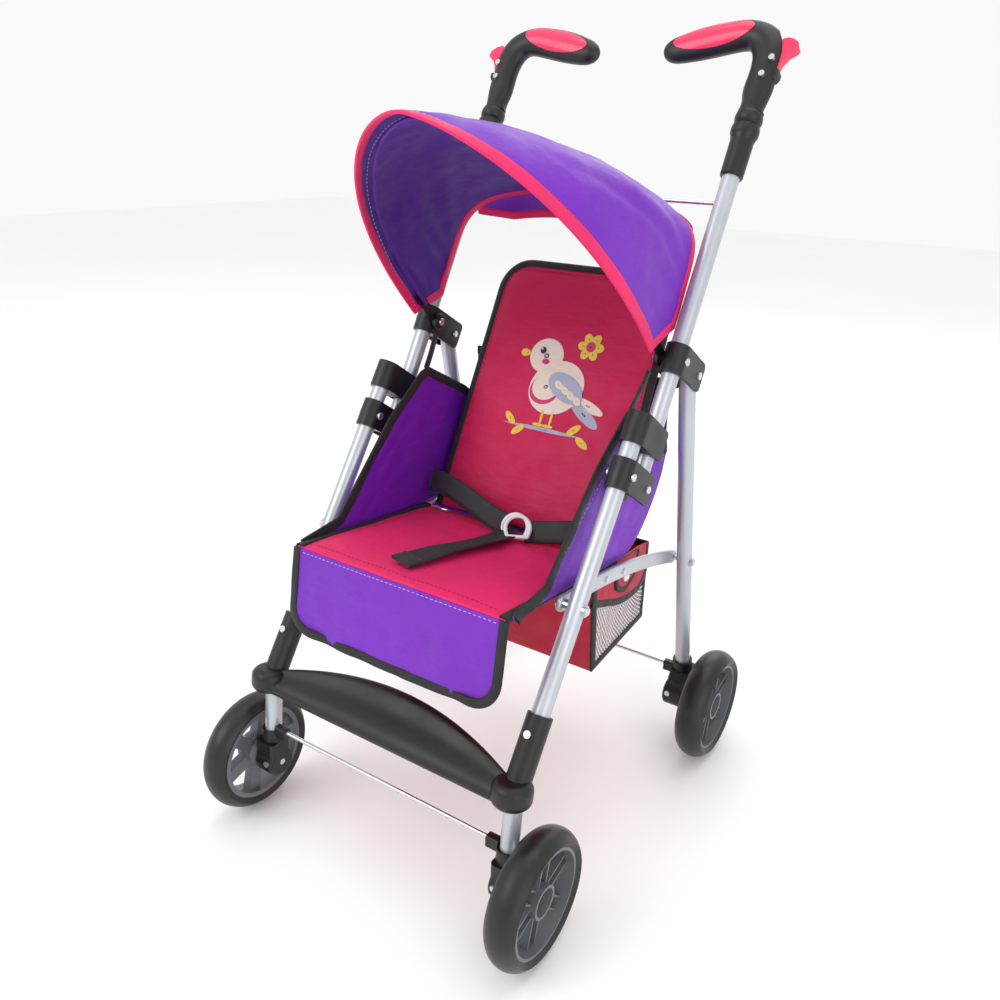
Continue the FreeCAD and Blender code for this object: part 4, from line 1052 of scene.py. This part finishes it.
def d_ring(name, x, y, z, turn, radius, wire):
    """Closed half-round ring with a straight bar."""
    flat = [(-radius * 0.82, -radius * 0.75), (radius * 0.82, -radius * 0.75)]
    for k in range(25):
        angle = -0.35 + (math.pi + 0.7) * k / 24
        flat.append((radius * math.cos(angle), radius * math.sin(angle)))
    line = resample(flat + flat[:1], 72)[:-1]
    line = np.array([(p[0], 0.0, p[1]) for p in line])
    spin = np.array(Matrix.Rotation(turn[1], 3, "Z") @ Matrix.Rotation(turn[0], 3, "X"))
    line = line @ spin.T + np.array([x, y, z])
    return round_rod(name, line, wire, WHITE, True)


rings = [d_ring("belt_ring_a", 17, 184.5, 286, (-0.5, 0.25), 12.5, 2.0),
         d_ring("belt_ring_b", 22, 181.5, 287.5, (-0.75, 0.5), 12.0, 2.0)]
for piece in rings:
    on_seat(piece)
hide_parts("belt_rings")

# ------------------------------------------------------------------ wing straps
for side, sign in (("left", 1), ("right", -1)):
    line = smooth_line([(sign * 114.8, 214, 415), (sign * 116.5, 224, 428), (sign * 119.0, 236, 446)], 24)
    strap = ribbon("wing_strap_" + side, line, (0, 0.8, -0.6), 8, 1.4, WEBBING)
    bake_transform(strap)
    if sign > 0:
        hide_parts("wing_straps")

# ------------------------------------------------------------------ cloth facts
for piece, width, length, area, held, rests_on in sheets:
    full = width * length
    share = min(area, full)


# ------------------------------------------------------------------ stage, light and camera
def make_floor():
    mesh = bpy.data.meshes.new("floor")
    half = 6.0
    level = -0.0006    # just under the tyres
    corners = [(-half, -half, level), (half, -half, level), (half, half, level), (-half, half, level)]
    mesh.from_pydata(corners, [], [(0, 1, 2, 3)])
    nodes = Nodes("pale_floor")
    varied(nodes, (0.95, 0.95, 0.95), 0.01, 1.5)
    nodes.shader.inputs["Roughness"].default_value = 0.75
    nodes.bump(nodes.noise("Object", 40.0, 3.0), 0.02, 0.001)
    mesh.materials.append(nodes.material)
    made = bpy.data.objects.new("floor", mesh)
    bpy.context.scene.collection.objects.link(made)


def area_light(name, location, target, size, power):
    data = bpy.data.lights.new(name, "AREA")
    data.shape = "RECTANGLE"
    data.size = size[0]
    data.size_y = size[1]
    data.energy = power
    made = bpy.data.objects.new(name, data)
    made.location = location
    made.rotation_euler = (Vector(target) - Vector(location)).to_track_quat("-Z", "Y").to_euler()
    bpy.context.scene.collection.objects.link(made)


make_floor()
area_light("key", (-1.1, -1.9, 2.0), (0, 0, 0.35), (1.6, 1.6), 22)
area_light("fill", (2.2, -1.2, 1.1), (0, 0, 0.35), (1.6, 1.6), 11)
area_light("top", (0.2, 0.4, 2.6), (0, 0, 0.3), (1.8, 1.8), 12)
area_light("rear", (-0.4, 2.2, 1.6), (0, 0, 0.4), (1.4, 1.4), 10)

world = bpy.data.worlds.new("studio")
world.use_nodes = True
world.node_tree.nodes["Background"].inputs["Color"].default_value = (1, 1, 1, 1)
world.node_tree.nodes["Background"].inputs["Strength"].default_value = 0.95
bpy.context.scene.world = world
bpy.context.scene.view_settings.view_transform = "Standard"

CAMERA_AT = place(443.21, -486.86, 640.91)
CAMERA_TURN = math.radians(33.512)
CAMERA_DOWN = math.radians(22.359)
CAMERA_ROLL = math.radians(1.520)
CAMERA_LENS = 32.475

forward = Vector((-math.sin(CAMERA_TURN) * math.cos(CAMERA_DOWN),
                  math.cos(CAMERA_TURN) * math.cos(CAMERA_DOWN), -math.sin(CAMERA_DOWN)))
level = Vector((math.cos(CAMERA_TURN), math.sin(CAMERA_TURN), 0))
upward = level.cross(forward)
right = level * math.cos(CAMERA_ROLL) + upward * math.sin(CAMERA_ROLL)
upward = upward * math.cos(CAMERA_ROLL) - level * math.sin(CAMERA_ROLL)
camera_data = bpy.data.cameras.new("camera")
camera_data.lens = CAMERA_LENS
camera_data.sensor_width = 36.0
camera = bpy.data.objects.new("camera", camera_data)
camera.matrix_world = Matrix((
    (right.x, upward.x, -forward.x, CAMERA_AT.x),
    (right.y, upward.y, -forward.y, CAMERA_AT.y),
    (right.z, upward.z, -forward.z, CAMERA_AT.z),
    (0, 0, 0, 1)))
bpy.context.scene.collection.objects.link(camera)
bpy.context.scene.camera = camera
